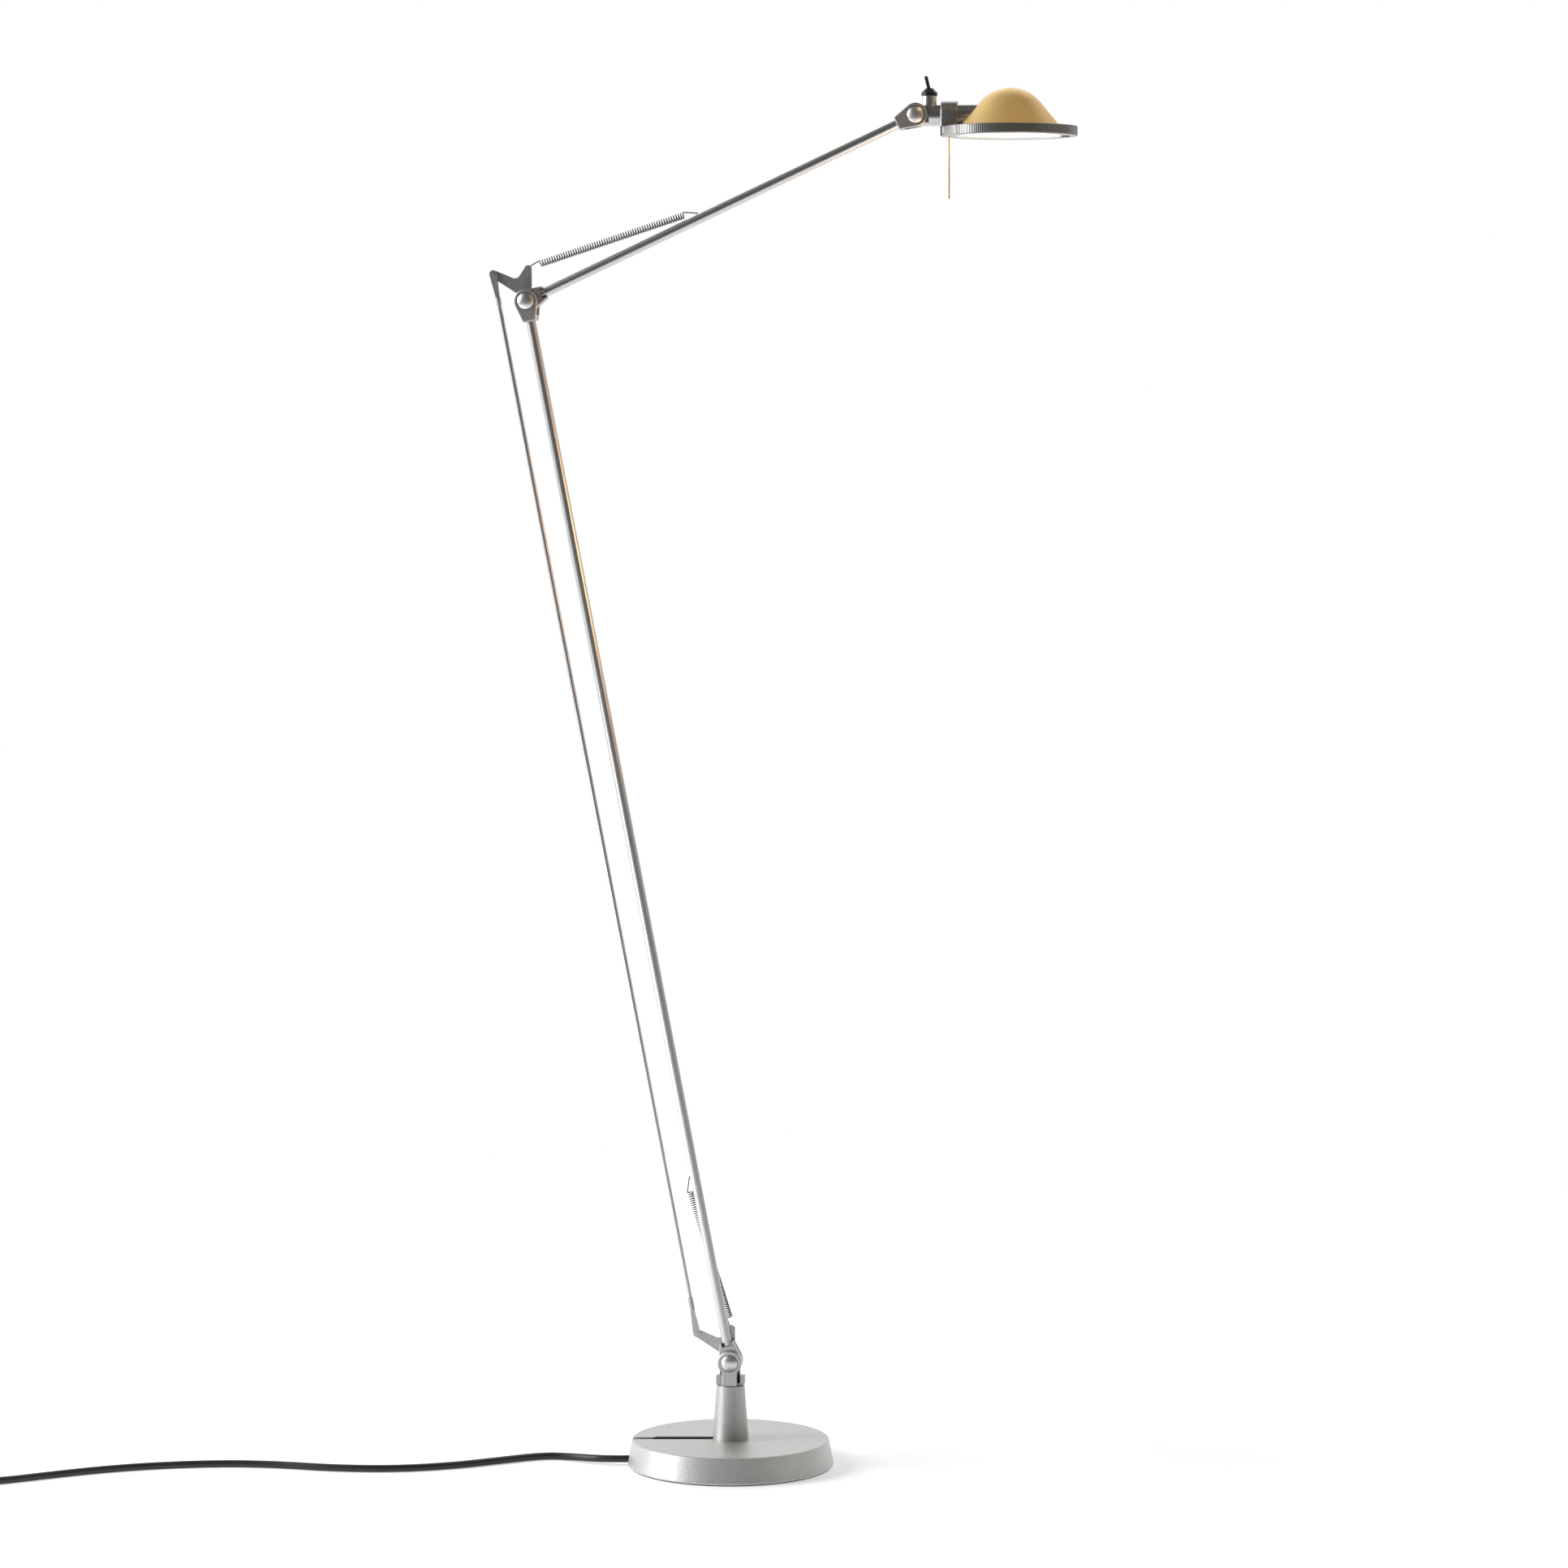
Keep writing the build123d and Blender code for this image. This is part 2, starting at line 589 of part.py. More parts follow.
# The lead lies in the groove and drops through the notch in the wall to the exit.
with BuildPart() as groove_lead:
    with BuildLine():
        lead_points = [GROOVE_WAY * (NIPPLE_R + 3.0) + Vector(0, 0, GROOVE_CORD_Z),
                       GROOVE_WAY * GROOVE_BEND + Vector(0, 0, GROOVE_CORD_Z),
                       GROOVE_WAY * (GROOVE_BEND + GROOVE_DROP) + Vector(0, 0, EXIT_CORD_Z),
                       CORD_EXIT]
        lead_path = FilletPolyline(*lead_points, radius=(12.0, 9.5))
    with BuildSketch(Plane(origin=lead_points[0], x_dir=(0, 0, 1), z_dir=GROOVE_WAY)):
        Circle(CORD_R)
    sweep(path=lead_path)
save(groove_lead.part, "groove_lead")


# ---------------------------------------------------------------- stem
with BuildPart() as stem_fork:
    # shank that turns in the bush, and the flange that stands on it
    with BuildSketch(Plane.XY.offset(SHANK_BOTTOM_Z)):
        Circle(SHANK_R)
    extrude(amount=BUSH_TOP_Z + 2 - SHANK_BOTTOM_Z)
    with BuildSketch(Plane.XY.offset(BUSH_TOP_Z + 0.2)):
        Circle(CONE_BORE_R - 0.3)
    extrude(amount=STEM_FOOT_Z - BUSH_TOP_Z - 0.2)
    # web between the plates
    with BuildSketch(side_plane((0, 0))):
        with Locations((sum(STEM_WEB) / 2, (STEM_FOOT_Z + STEM_WEB_TOP) / 2)):
            Rectangle(STEM_WEB[1] - STEM_WEB[0], STEM_WEB_TOP - STEM_FOOT_Z)
    extrude(amount=FORK_INSIDE, both=True)
    # front plate
    with BuildSketch(side_plane(BASE_JOINT, 0, FORK_INSIDE)):
        Circle(STEM_EYE_R)
        with Locations((0, (STEM_FOOT_Z - BASE_JOINT[1]) / 2)):
            Rectangle(2 * STEM_BAR_HALF_WIDTH, BASE_JOINT[1] - STEM_FOOT_Z)
    extrude(amount=FORK_OUTSIDE - FORK_INSIDE)
    # rear plate, with a wider bar
    with BuildSketch(side_plane(BASE_JOINT, 0, -FORK_OUTSIDE)):
        Circle(EYE_R)
        drop = STEM_FOOT_Z - BASE_JOINT[1]
        with BuildLine():
            Polyline((STEM_REAR_BAR[0], drop), (STEM_REAR_BAR[1], drop), (STEM_REAR_BAR[1], -6.6),
                     (EYE_R - 0.3, -2.0), (-EYE_R + 0.1, -2.0), (STEM_REAR_BAR[0], -4.5), close=True)
        make_face()
    extrude(amount=FORK_OUTSIDE - FORK_INSIDE)
    chamfer(stem_fork.faces().filter_by(Axis.Y).sort_by(Axis.Y)[0].edges().sort_by(Axis.Z)[2:],
            EYE_CHAMFER)
    # bolt hole and cap recesses
    with BuildSketch(side_plane(BASE_JOINT)):
        Circle(BOLT_R)
    extrude(amount=FORK_OUTSIDE, both=True, mode=Mode.SUBTRACT)
    for side in (1, -1):
        with BuildSketch(side_plane(BASE_JOINT, 0, side * FORK_OUTSIDE)):
            Circle(CAP_RECESS_R)
        extrude(amount=-side * CAP_RECESS, mode=Mode.SUBTRACT)
    # way for the lead: up the hollow shank and out to the right of the web
    with BuildSketch(Plane.XY.offset(SHANK_BOTTOM_Z)):
        Circle(STEM_LEAD_R + 0.5)
    extrude(amount=BUSH_TOP_Z + 2 - SHANK_BOTTOM_Z, mode=Mode.SUBTRACT)
    with BuildSketch(side_plane((0, 0))):
        with Locations((sum(LEAD_WAY) / 2, (LEAD_OPENING_Z[0] + LEAD_OPENING_Z[1]) / 2)):
            Rectangle(LEAD_WAY[1] - LEAD_WAY[0], LEAD_OPENING_Z[1] - LEAD_OPENING_Z[0])
    extrude(amount=STEM_LEAD_R + 0.4, both=True, mode=Mode.SUBTRACT)
    # seat of the swivel collar
    with BuildSketch(Plane.XY.offset(STEM_FOOT_Z)):
        Rectangle(2 * COLLAR_EAR_OUT, 2 * COLLAR_HALF_DEPTH)
    extrude(amount=COLLAR_BAR, mode=Mode.SUBTRACT)
save(stem_fork.part, "stem_fork")

with BuildPart() as swivel_collar:
    with BuildSketch(Plane.XY.offset(STEM_FOOT_Z)):
        Rectangle(2 * COLLAR_EAR_OUT - 1.6, 2 * COLLAR_HALF_DEPTH)
        with Locations((sum(LEAD_WAY) / 2, 0)):
            Rectangle(LEAD_WAY[1] - LEAD_WAY[0], 2 * STEM_LEAD_R + 0.8, mode=Mode.SUBTRACT)
    extrude(amount=COLLAR_BAR)
    with BuildSketch(Plane.XY.offset(COLLAR_EAR_BOTTOM)):
        ear_x = (COLLAR_EAR_OUT + COLLAR_EAR_IN) / 2
        with Locations((ear_x, 0), (-ear_x, 0)):
            RectangleRounded(COLLAR_EAR_OUT - COLLAR_EAR_IN, 2 * COLLAR_HALF_DEPTH, 0.8)
    extrude(amount=COLLAR_EAR_TOP - COLLAR_EAR_BOTTOM)
save(swivel_collar.part, "swivel_collar")

with BuildPart() as shank_ring:
    with BuildSketch(Plane.XY.offset(SHANK_RING_Z)):
        Circle(SHANK_R + SHANK_RING_WIDTH)
        Circle(SHANK_R, mode=Mode.SUBTRACT)
    extrude(amount=SHANK_RING_THICKNESS)
save(shank_ring.part, "shank_ring")

with BuildPart() as stem_lead:
    with BuildLine():
        stem_lead_path = FilletPolyline((0, 0, CONE_FLOOR_Z + 3), (0, 0, 54), (STEM_LEAD_X, 0, 66),
                                        (STEM_LEAD_X, 0, 80), radius=(20.0, 20.0))
    with BuildSketch(Plane.XY.offset(CONE_FLOOR_Z + 3)):
        Circle(STEM_LEAD_R)
    sweep(path=stem_lead_path)
    with BuildSketch(side_plane(BASE_JOINT)):
        Circle(EYE_R + 0.35)
    extrude(amount=FORK_INSIDE, both=True, mode=Mode.SUBTRACT)
save(stem_lead.part, "stem_lead")

save(lever(BASE_JOINT, BOLT_R, flared=True), "lower_lever")
save(rivet(LOWER_ROD_PIVOT), "lower_rod_rivet")
save(joint_bolt(BASE_JOINT), "base_joint_bolt")
save(joint_caps(BASE_JOINT), "base_joint_caps")

# ---------------------------------------------------------------- lower arm
TUBE_FROM = EYE_END - KNUCKLE_SOCKET_DEPTH
TUBE_SHORT = EYE_END - FORK_SOCKET_DEPTH
save(arm_knuckle(BASE_JOINT, LOWER_ARM_ANGLE), "lower_knuckle")
save(arm_tube(BASE_JOINT, LOWER_ARM_ANGLE, TUBE_FROM, LOWER_ARM_LENGTH - TUBE_SHORT), "lower_arm_tube")
save(arm_fork(ELBOW, LOWER_ARM_ANGLE + 180), "elbow_fork")
save(spring_pin(BASE_JOINT, LOWER_ARM_ANGLE), "lower_spring_pin")
save(arm_lead(BASE_JOINT, LOWER_ARM_ANGLE, TUBE_FROM, LOWER_ARM_LENGTH - TUBE_SHORT, -1), "lower_arm_lead")
save(joint_bolt(ELBOW), "elbow_bolt")
save(joint_caps(ELBOW), "elbow_caps")

# ---------------------------------------------------------------- parallel rod
BLADE_MIDDLE = (BLADE_FRONT + BLADE_BACK) / 2
ROD_END = ROD_BLADE_LENGTH + ROD_INSERT
save(rod_end(LOWER_ROD_PIVOT, LOWER_ARM_ANGLE, LOWER_FERRULE), "rod_lower_end")
save(rod_end(UPPER_ROD_PIVOT, LOWER_ARM_ANGLE + 180, UPPER_FERRULE), "rod_upper_end")
rod_bottom = along(LOWER_ROD_PIVOT, LOWER_ARM_ANGLE, ROD_END, BLADE_MIDDLE)
rod_top = along(UPPER_ROD_PIVOT, LOWER_ARM_ANGLE + 180, ROD_END, BLADE_MIDDLE)
save(wire(rod_bottom, rod_top, ROD_R), "parallel_rod")

# ---------------------------------------------------------------- elbow lever
save(lever(ELBOW, BOLT_R + RUNNING_FIT, flared=False), "elbow_lever")
save(rivet(UPPER_ROD_PIVOT), "upper_rod_rivet")

# ---------------------------------------------------------------- upper arm
save(arm_knuckle(ELBOW, UPPER_ARM_ANGLE), "upper_knuckle")
save(arm_tube(ELBOW, UPPER_ARM_ANGLE, TUBE_FROM, UPPER_ARM_LENGTH - TUBE_SHORT), "upper_arm_tube")
save(arm_fork(HEAD_JOINT, UPPER_ARM_ANGLE + 180), "head_fork")
save(spring_pin(ELBOW, UPPER_ARM_ANGLE), "upper_spring_pin")
save(arm_lead(ELBOW, UPPER_ARM_ANGLE, TUBE_FROM, UPPER_ARM_LENGTH - TUBE_SHORT, -1), "upper_arm_lead")
save(joint_bolt(HEAD_JOINT), "head_joint_bolt")
save(joint_caps(HEAD_JOINT), "head_joint_caps")

# ---------------------------------------------------------------- springs
def spring_point(pivot, angle, distance, left, depth):
    """Point beside an arm: left is measured square to the arm, depth towards the front."""
    return along(pivot, angle, distance, depth) + direction(angle + 90) * left


def hook_point(pivot, hook):
    """Where a spring's hook meets the stud behind a lever's ear."""
    return Vector(pivot[0] + SPRING_EAR[0] + hook[0], -HOOK_DEPTH, pivot[1] + SPRING_EAR[1] + hook[1])


save(spring(hook_point(BASE_JOINT, LOWER_HOOK),
            spring_point(BASE_JOINT, LOWER_ARM_ANGLE, 34.5, -4.8, -8.2),
            spring_point(BASE_JOINT, LOWER_ARM_ANGLE, 141.5, 6.9, -6.5),
            spring_point(BASE_JOINT, LOWER_ARM_ANGLE, SPRING_ANCHOR, ARM_TUBE_R + 0.7, 0)), "lower_spring")
save(spring(hook_point(ELBOW, UPPER_HOOK),
            Vector(ELBOW[0] + 10.2, 6.0, ELBOW[1] + 30.2),
            Vector(ELBOW[0] + 126.9, 0.8, ELBOW[1] + 68.1),
            spring_point(ELBOW, UPPER_ARM_ANGLE, SPRING_ANCHOR, ARM_TUBE_R + 0.7, 0)), "upper_spring")

# ---------------------------------------------------------------- head tube and switch
def head_plane(x=0.0, z=0.0, x_dir=(1, 0, 0), z_dir=(0, 0, 1)):
    """Plane placed from the head joint."""
    return Plane(origin=(HEAD_JOINT[0] + x, 0, HEAD_JOINT[1] + z), x_dir=x_dir, z_dir=z_dir)


def head_cross_plane(x):
    """Plane square to the head tube, its normal along +X."""
    return head_plane(x, x_dir=(0, 1, 0), z_dir=(1, 0, 0))


def upright(x, low, high, radius):
    """Vertical cylinder on the head."""
    with BuildPart() as post:
        with BuildSketch(head_plane(x, low)):
            Circle(radius)
        extrude(amount=high - low)
    return post.part


with BuildPart() as head_tube:
    with BuildSketch(head_cross_plane(-TONGUE_R)):
        Circle(HEAD_TUBE_R)
    extrude(amount=TUBE_END + TONGUE_R)
    # round end of the tongue that turns between the fork's plates
    with BuildSketch(side_plane(HEAD_JOINT)):
        with BuildLine():
            Polyline((0, HEAD_TUBE_R), (TUBE_END, HEAD_TUBE_R), (TUBE_END, -HEAD_TUBE_R), (0, -HEAD_TUBE_R))
            ThreePointArc((0, -HEAD_TUBE_R), (-TONGUE_R, 0), (0, HEAD_TUBE_R))
        make_face()
    extrude(amount=HEAD_TUBE_R + 1, both=True, mode=Mode.INTERSECT)
    # the tongue's two flats
    for side in (1, -1):
        with BuildSketch(side_plane(HEAD_JOINT, 0, side * TONGUE_HALF)):
            with Locations((TUBE_START - 15, 0)):
                Rectangle(30, 4 * HEAD_TUBE_R)
        extrude(amount=side * HEAD_TUBE_R, mode=Mode.SUBTRACT)
    # bolt bore, switch pocket, tube bore and the way between them for the lead
    with BuildSketch(side_plane(HEAD_JOINT)):
        Circle(BOLT_R + RUNNING_FIT)
    extrude(amount=HEAD_TUBE_R, both=True, mode=Mode.SUBTRACT)
    with BuildSketch(head_plane(SWITCH_X, -3)):
        Circle(SWITCH_POCKET_R)
    extrude(amount=3 + HEAD_TUBE_R, mode=Mode.SUBTRACT)
    with BuildSketch(head_cross_plane(SWITCH_X + 6.5)):
        Circle(HEAD_TUBE_R - TUBE_WALL)
    extrude(amount=TUBE_END - SWITCH_X, mode=Mode.SUBTRACT)
    with BuildSketch(head_cross_plane(SWITCH_X)):
        Circle(SWITCH_LEAD_R)
    extrude(amount=TUBE_END - SWITCH_X, mode=Mode.SUBTRACT)
save(head_tube.part, "head_tube")

with BuildPart() as switch_boss:
    with BuildSketch(head_plane(SWITCH_X, SWITCH_BOSS_FOOT)):
        Circle(SWITCH_BOSS_R)
    extrude(amount=SWITCH_BOSS_TOP - SWITCH_BOSS_FOOT)
    with BuildSketch(head_cross_plane(0)):
        Circle(HEAD_TUBE_R)
    extrude(amount=TUBE_END, mode=Mode.SUBTRACT)
    add(upright(SWITCH_X, SWITCH_BOSS_FOOT, SWITCH_BOSS_TOP, SWITCH_POCKET_R - 0.05))
    add(upright(SWITCH_X, SWITCH_BOSS_FOOT, SWITCH_BOSS_TOP, SWITCH_BODY_R), mode=Mode.SUBTRACT)
save(switch_boss.part, "switch_boss")

with BuildPart() as switch_body:
    with BuildSketch(head_plane(SWITCH_X, SWITCH_BODY_BOTTOM)):
        Circle(SWITCH_BODY_R)
    extrude(amount=SWITCH_BOSS_TOP - SWITCH_BODY_BOTTOM)
save(switch_body.part, "switch_body")

with BuildPart() as switch_boot:
    with BuildSketch(head_plane(SWITCH_X, 0, x_dir=(1, 0, 0), z_dir=(0, -1, 0))):
        with BuildLine():
            Polyline((SWITCH_BODY_R + 0.3, SWITCH_BOSS_TOP), (BOOT_RIM_R - 0.4, SWITCH_BOSS_TOP),
                     (BOOT_RIM_R, SWITCH_BOSS_TOP + 0.5), (BOOT_RIM_R, BOOT_RIM_TOP - 0.6),
                     (BOOT_RIM_R - 0.6, BOOT_RIM_TOP), (BOOT_MOUTH_R + 0.6, BOOT_TOP),
                     (BOOT_MOUTH_R, BOOT_TOP), (BOOT_MOUTH_R, SWITCH_BOSS_TOP + 1.2),
                     (SWITCH_BODY_R + 0.3, SWITCH_BOSS_TOP + 1.2), close=True)
        make_face()
    revolve(axis=Axis((HEAD_JOINT[0] + SWITCH_X, 0, HEAD_JOINT[1]), (0, 0, 1)))
save(switch_boot.part, "switch_boot")

TOGGLE_WAY = direction(90 + TOGGLE_TILT)
TOGGLE_CENTRE = Vector(HEAD_JOINT[0] + SWITCH_X, 0, HEAD_JOINT[1] + TOGGLE_PIVOT)
with BuildPart() as toggle_lever:
    with Locations(TOGGLE_CENTRE):
        Sphere(TOGGLE_BALL_R)
    with BuildSketch(Plane(origin=TOGGLE_CENTRE, x_dir=(0, 1, 0), z_dir=TOGGLE_WAY)):
        Circle(TOGGLE_R)
    extrude(amount=(TOGGLE_TOP - TOGGLE_PIVOT) / cos(radians(TOGGLE_TILT)))
    fillet(toggle_lever.edges().sort_by(Axis.Z)[-1], 0.9)
save(toggle_lever.part, "toggle_lever")

# ---------------------------------------------------------------- reflector head
with BuildPart() as head_collar:
    with BuildSketch(head_cross_plane(COLLAR_START)):
        Circle(COLLAR_R)
        with Locations((0, RING_TOP / 2)):
            Rectangle(2 * COLLAR_R, -RING_TOP)
        with Locations((0, RING_TOP - 5)):
            Rectangle(4 * COLLAR_R, 10, mode=Mode.SUBTRACT)
    extrude(amount=COLLAR_END - COLLAR_START)
    chamfer(head_collar.faces().sort_by(Axis.X)[0].edges().sort_by(Axis.Z)[1:], 0.7)
    with BuildSketch(head_cross_plane(COLLAR_START)):
        Circle(HEAD_TUBE_R + RUNNING_FIT)
    extrude(amount=TUBE_END - COLLAR_START + 0.2, mode=Mode.SUBTRACT)
    with BuildSketch(head_cross_plane(COLLAR_START)):
        Circle(COLLAR_LEAD_R)
    extrude(amount=COLLAR_END - COLLAR_START, mode=Mode.SUBTRACT)
save(head_collar.part, "head_collar")

with BuildPart() as rim_ring:
    with BuildSketch(head_plane(RING_CENTRE, 0, x_dir=(1, 0, 0), z_dir=(0, -1, 0))):
        with BuildLine():
            Polyline((DOME_BASE_R + 0.4, RING_TOP), (RING_R - 0.5, RING_TOP), (RING_R, RING_TOP - 0.5),
                     (RING_R, RING_BOTTOM + 0.6), (RING_R - 0.6, RING_BOTTOM), (GLASS_SIGHT_R, RING_BOTTOM),
                     (GLASS_SIGHT_R, GLASS_LIP_TOP), (GLASS_R + 0.2, GLASS_LIP_TOP),
                     (GLASS_R + 0.2, RING_TOP - 1.6), (DOME_BASE_R + 0.4, RING_TOP - 1.6), close=True)
        make_face()
    revolve(axis=Axis((HEAD_JOINT[0] + RING_CENTRE, 0, HEAD_JOINT[1]), (0, 0, 1)))
    with BuildSketch(head_plane(0, RING_BOTTOM)):
        with Locations(((COLLAR_START + RING_CENTRE - GLASS_R - 1.5) / 2, 0)):
            Rectangle(RING_CENTRE - GLASS_R - 1.5 - COLLAR_START, 2 * COLLAR_R)
    extrude(amount=RING_TOP - RING_BOTTOM)
    with BuildSketch(head_cross_plane(0)):
        Circle(HEAD_TUBE_R + 0.4)
    extrude(amount=COLLAR_END + 2, mode=Mode.SUBTRACT)
    with BuildSketch(head_plane(HANDLE_X, RING_BOTTOM)):
        Circle(HANDLE_R)
    extrude(amount=4.0, mode=Mode.SUBTRACT)
save(rim_ring.part, "rim_ring")

FLARE = radians(DOME_FLARE_ANGLE)


def dome_outline(inset):
    """Dome wall at an inset from the outside: an arc over the top, then a straight flare and a skirt."""
    arc_r = DOME_ARC_R - inset
    centre_z = RING_TOP + DOME_HEIGHT - DOME_ARC_R
    turn = (arc_r * sin(FLARE), centre_z + arc_r * cos(FLARE))
    half = (arc_r * sin(FLARE / 2), centre_z + arc_r * cos(FLARE / 2))
    base_r = turn[0] + (turn[1] - RING_TOP) / tan(FLARE)
    return (0, centre_z + arc_r), half, turn, (base_r, RING_TOP)


with BuildPart() as reflector_dome:
    top, half, turn, base = dome_outline(0)
    top_in, half_in, turn_in = dome_outline(DOME_WALL)[:3]
    skirt = RING_TOP - 1.7
    flange = skirt - DOME_WALL
    with BuildSketch(head_plane(RING_CENTRE, 0, x_dir=(1, 0, 0), z_dir=(0, -1, 0))):
        with BuildLine():
            ThreePointArc(top, half, turn)
            Polyline(turn, base, (base[0], skirt), (GLASS_R - 0.3, skirt), (GLASS_R - 0.3, flange),
                     (base[0] - DOME_WALL, flange), (base[0] - DOME_WALL, RING_TOP), turn_in)
            ThreePointArc(turn_in, half_in, top_in)
            Line(top_in, top)
        make_face()
    revolve(axis=Axis((HEAD_JOINT[0] + RING_CENTRE, 0, HEAD_JOINT[1]), (0, 0, 1)))
    with BuildSketch(head_cross_plane(COLLAR_END)):
        Circle(HEAD_TUBE_R + 0.4)
    extrude(amount=RING_CENTRE - COLLAR_END, mode=Mode.SUBTRACT)
save(reflector_dome.part, "reflector_dome")

with BuildPart() as glass_diffuser:
    with BuildSketch(head_plane(RING_CENTRE, GLASS_LIP_TOP)):
        Circle(GLASS_R)
    extrude(amount=GLASS_THICKNESS)
save(glass_diffuser.part, "glass_diffuser")

with BuildPart() as glass_catch:
    with BuildSketch(head_plane(RING_CENTRE + GLASS_SIGHT_R + 2.0, RING_BOTTOM - 0.8)):
        RectangleRounded(7.0, 5.0, 0.8)
    extrude(amount=0.8)
save(glass_catch.part, "glass_catch")

with BuildPart() as socket_carrier:
    with BuildSketch(head_cross_plane(COLLAR_END)):
        Circle(HEAD_TUBE_R)
        Circle(HEAD_TUBE_R - TUBE_WALL, mode=Mode.SUBTRACT)
        # open quarter at the lower front
        with Locations((-HEAD_TUBE_R, -HEAD_TUBE_R)):
            Rectangle(2 * HEAD_TUBE_R, 2 * HEAD_TUBE_R, mode=Mode.SUBTRACT)
    extrude(amount=CARRIER_END - COLLAR_END)
save(socket_carrier.part, "socket_carrier")

with BuildPart() as lamp_holder:
    with BuildSketch(head_cross_plane(CARRIER_END - HOLDER_LENGTH)):
        Circle(HEAD_TUBE_R - TUBE_WALL)
    extrude(amount=HOLDER_LENGTH)
save(lamp_holder.part, "lamp_holder")

with BuildPart() as halogen_bulb:
    with BuildSketch(head_plane(CARRIER_END, 0, x_dir=(1, 0, 0), z_dir=(0, -1, 0))):
        with BuildLine():
            shoulder = BULB_LENGTH - BULB_R
            Polyline((BULB_LENGTH, 0), (0, 0), (0, BULB_NECK_R), (6, BULB_NECK_R), (8, BULB_R),
                     (shoulder, BULB_R))
            TangentArc((shoulder, BULB_R), (BULB_LENGTH, 0), tangent=(1, 0))
        make_face()
    revolve(axis=Axis((HEAD_JOINT[0], 0, HEAD_JOINT[1]), (1, 0, 0)))
save(halogen_bulb.part, "halogen_bulb")

with BuildPart() as handle_rod:
    with BuildSketch(head_plane(HANDLE_X, RING_BOTTOM + 3.8)):
        Circle(HANDLE_R)
    extrude(amount=-HANDLE_LENGTH - 3.8)
save(handle_rod.part, "handle_rod")

# ---------------------------------------------------------------- supply cord
# Centre line from the exit along the floor to the coil; then the tail from the coil to the plug.
CORD_ROUTE = [
    CORD_EXIT,
    Vector(-102.0, -9.8, 4.9),
    Vector(-130.0, 5.0, 3.1),
    Vector(-155.0, 8.5, 3.0),
    Vector(-188.0, -14.0, 3.0),
    Vector(-223.0, -38.0, 3.0),
    Vector(-268.0, -55.0, 3.0),
    Vector(-318.0, -56.5, 3.0),
    Vector(-362.0, -48.0, 3.0),
    Vector(-402.0, -46.5, 3.0),
    Vector(-447.0, -55.5, 3.0),
    Vector(-493.0, -73.5, 3.0),
    Vector(-534.0, -100.0, 3.0),
    Vector(-573.0, -130.0, 3.1),
    Vector(-601.0, -145.2, 3.6),
]
TAIL_ROUTE = [
    Vector(-675.8, -97.4, 9.4),
    Vector(-676.4, -80.0, 8.7),
    Vector(-673.5, -62.0, 7.4),
    Vector(-671.5, -47.0, 6.85),
]
COIL_CENTRE = Vector(-633.5, -114.7, 0)
COIL_MIDDLE_R = 33.3
COIL_HALF_WIDTH = 12.4
COIL_BOTTOM = 0.7
COIL_TOP = 12.6
TIE_THICKNESS = 0.6
TIE_WIDTH = 10.0
ARC_SHARE = 0.45             # of the shorter run, taken up by the arc at a corner


def corner_radii(route):
    """Largest arc at each corner of a route that leaves part of both runs straight."""
    radii = []
    for before, corner, after in zip(route, route[1:], route[2:]):
        run_in, run_out = corner - before, after - corner
        half_turn = radians(run_in.get_angle(run_out)) / 2
        radii.append(ARC_SHARE * min(run_in.length, run_out.length) / tan(half_turn))
    return radii


def cord_tube(route):
    """Tube along a route of straight runs and tangent arcs."""
    radii = corner_radii(route)
    with BuildPart() as cord:
        with BuildLine():
            path = FilletPolyline(*route, radius=radii)
        with BuildSketch(Plane(origin=route[0], z_dir=route[1] - route[0])):
            Circle(CORD_R)
        sweep(path=path)
    expected = pi * CORD_R ** 2 * path.length
    print("cord length", round(path.length), "radii", [round(r) for r in radii],
          "volume ratio", round(cord.part.volume / expected, 4))
    return cord.part


save(cord_tube(CORD_ROUTE), "supply_cord")
save(cord_tube(TAIL_ROUTE), "cord_tail")

with BuildPart() as cord_coil:
    with BuildSketch(Plane(origin=COIL_CENTRE + Vector(0, 0, COIL_BOTTOM), z_dir=(0, 0, 1))):
        Circle(COIL_MIDDLE_R + COIL_HALF_WIDTH)
        Circle(COIL_MIDDLE_R - COIL_HALF_WIDTH, mode=Mode.SUBTRACT)
    extrude(amount=COIL_TOP - COIL_BOTTOM)
    fillet(cord_coil.edges().filter_by(GeomType.CIRCLE), 2.8)
save(cord_coil.part, "cord_coil")

with BuildPart() as cord_tie:
    tie_plane = Plane(origin=COIL_CENTRE + Vector(0, COIL_MIDDLE_R - 0.6, (COIL_TOP + COIL_BOTTOM) / 2),
                      x_dir=(0, 1, 0), z_dir=(1, 0, 0))
    with BuildSketch(tie_plane):
        loop_width = 2 * COIL_HALF_WIDTH + 1.6
        loop_height = COIL_TOP - COIL_BOTTOM + 0.2
        RectangleRounded(loop_width + 2 * TIE_THICKNESS, loop_height + 2 * TIE_THICKNESS, 3.2)
        RectangleRounded(loop_width, loop_height, 2.6, mode=Mode.SUBTRACT)
    extrude(amount=TIE_WIDTH / 2, both=True)
save(cord_tie.part, "cord_tie")

PLUG_WAY = (TAIL_ROUTE[-1] - Vector(-673.5, -62.0, 6.85)).normalized()
PLUG_PLANE = Plane(origin=(TAIL_ROUTE[-1].X, TAIL_ROUTE[-1].Y, 0), x_dir=PLUG_WAY, z_dir=(0, 0, 1))
PLUG_THICKNESS = 13.7
PLUG_NECK = 14.0
PLUG_LENGTH = 36.0
PLUG_FRONT_WIDTH = 35.2
PIN_R = 2.0
PIN_LENGTH = 19.0
PIN_SPACING = 18.6

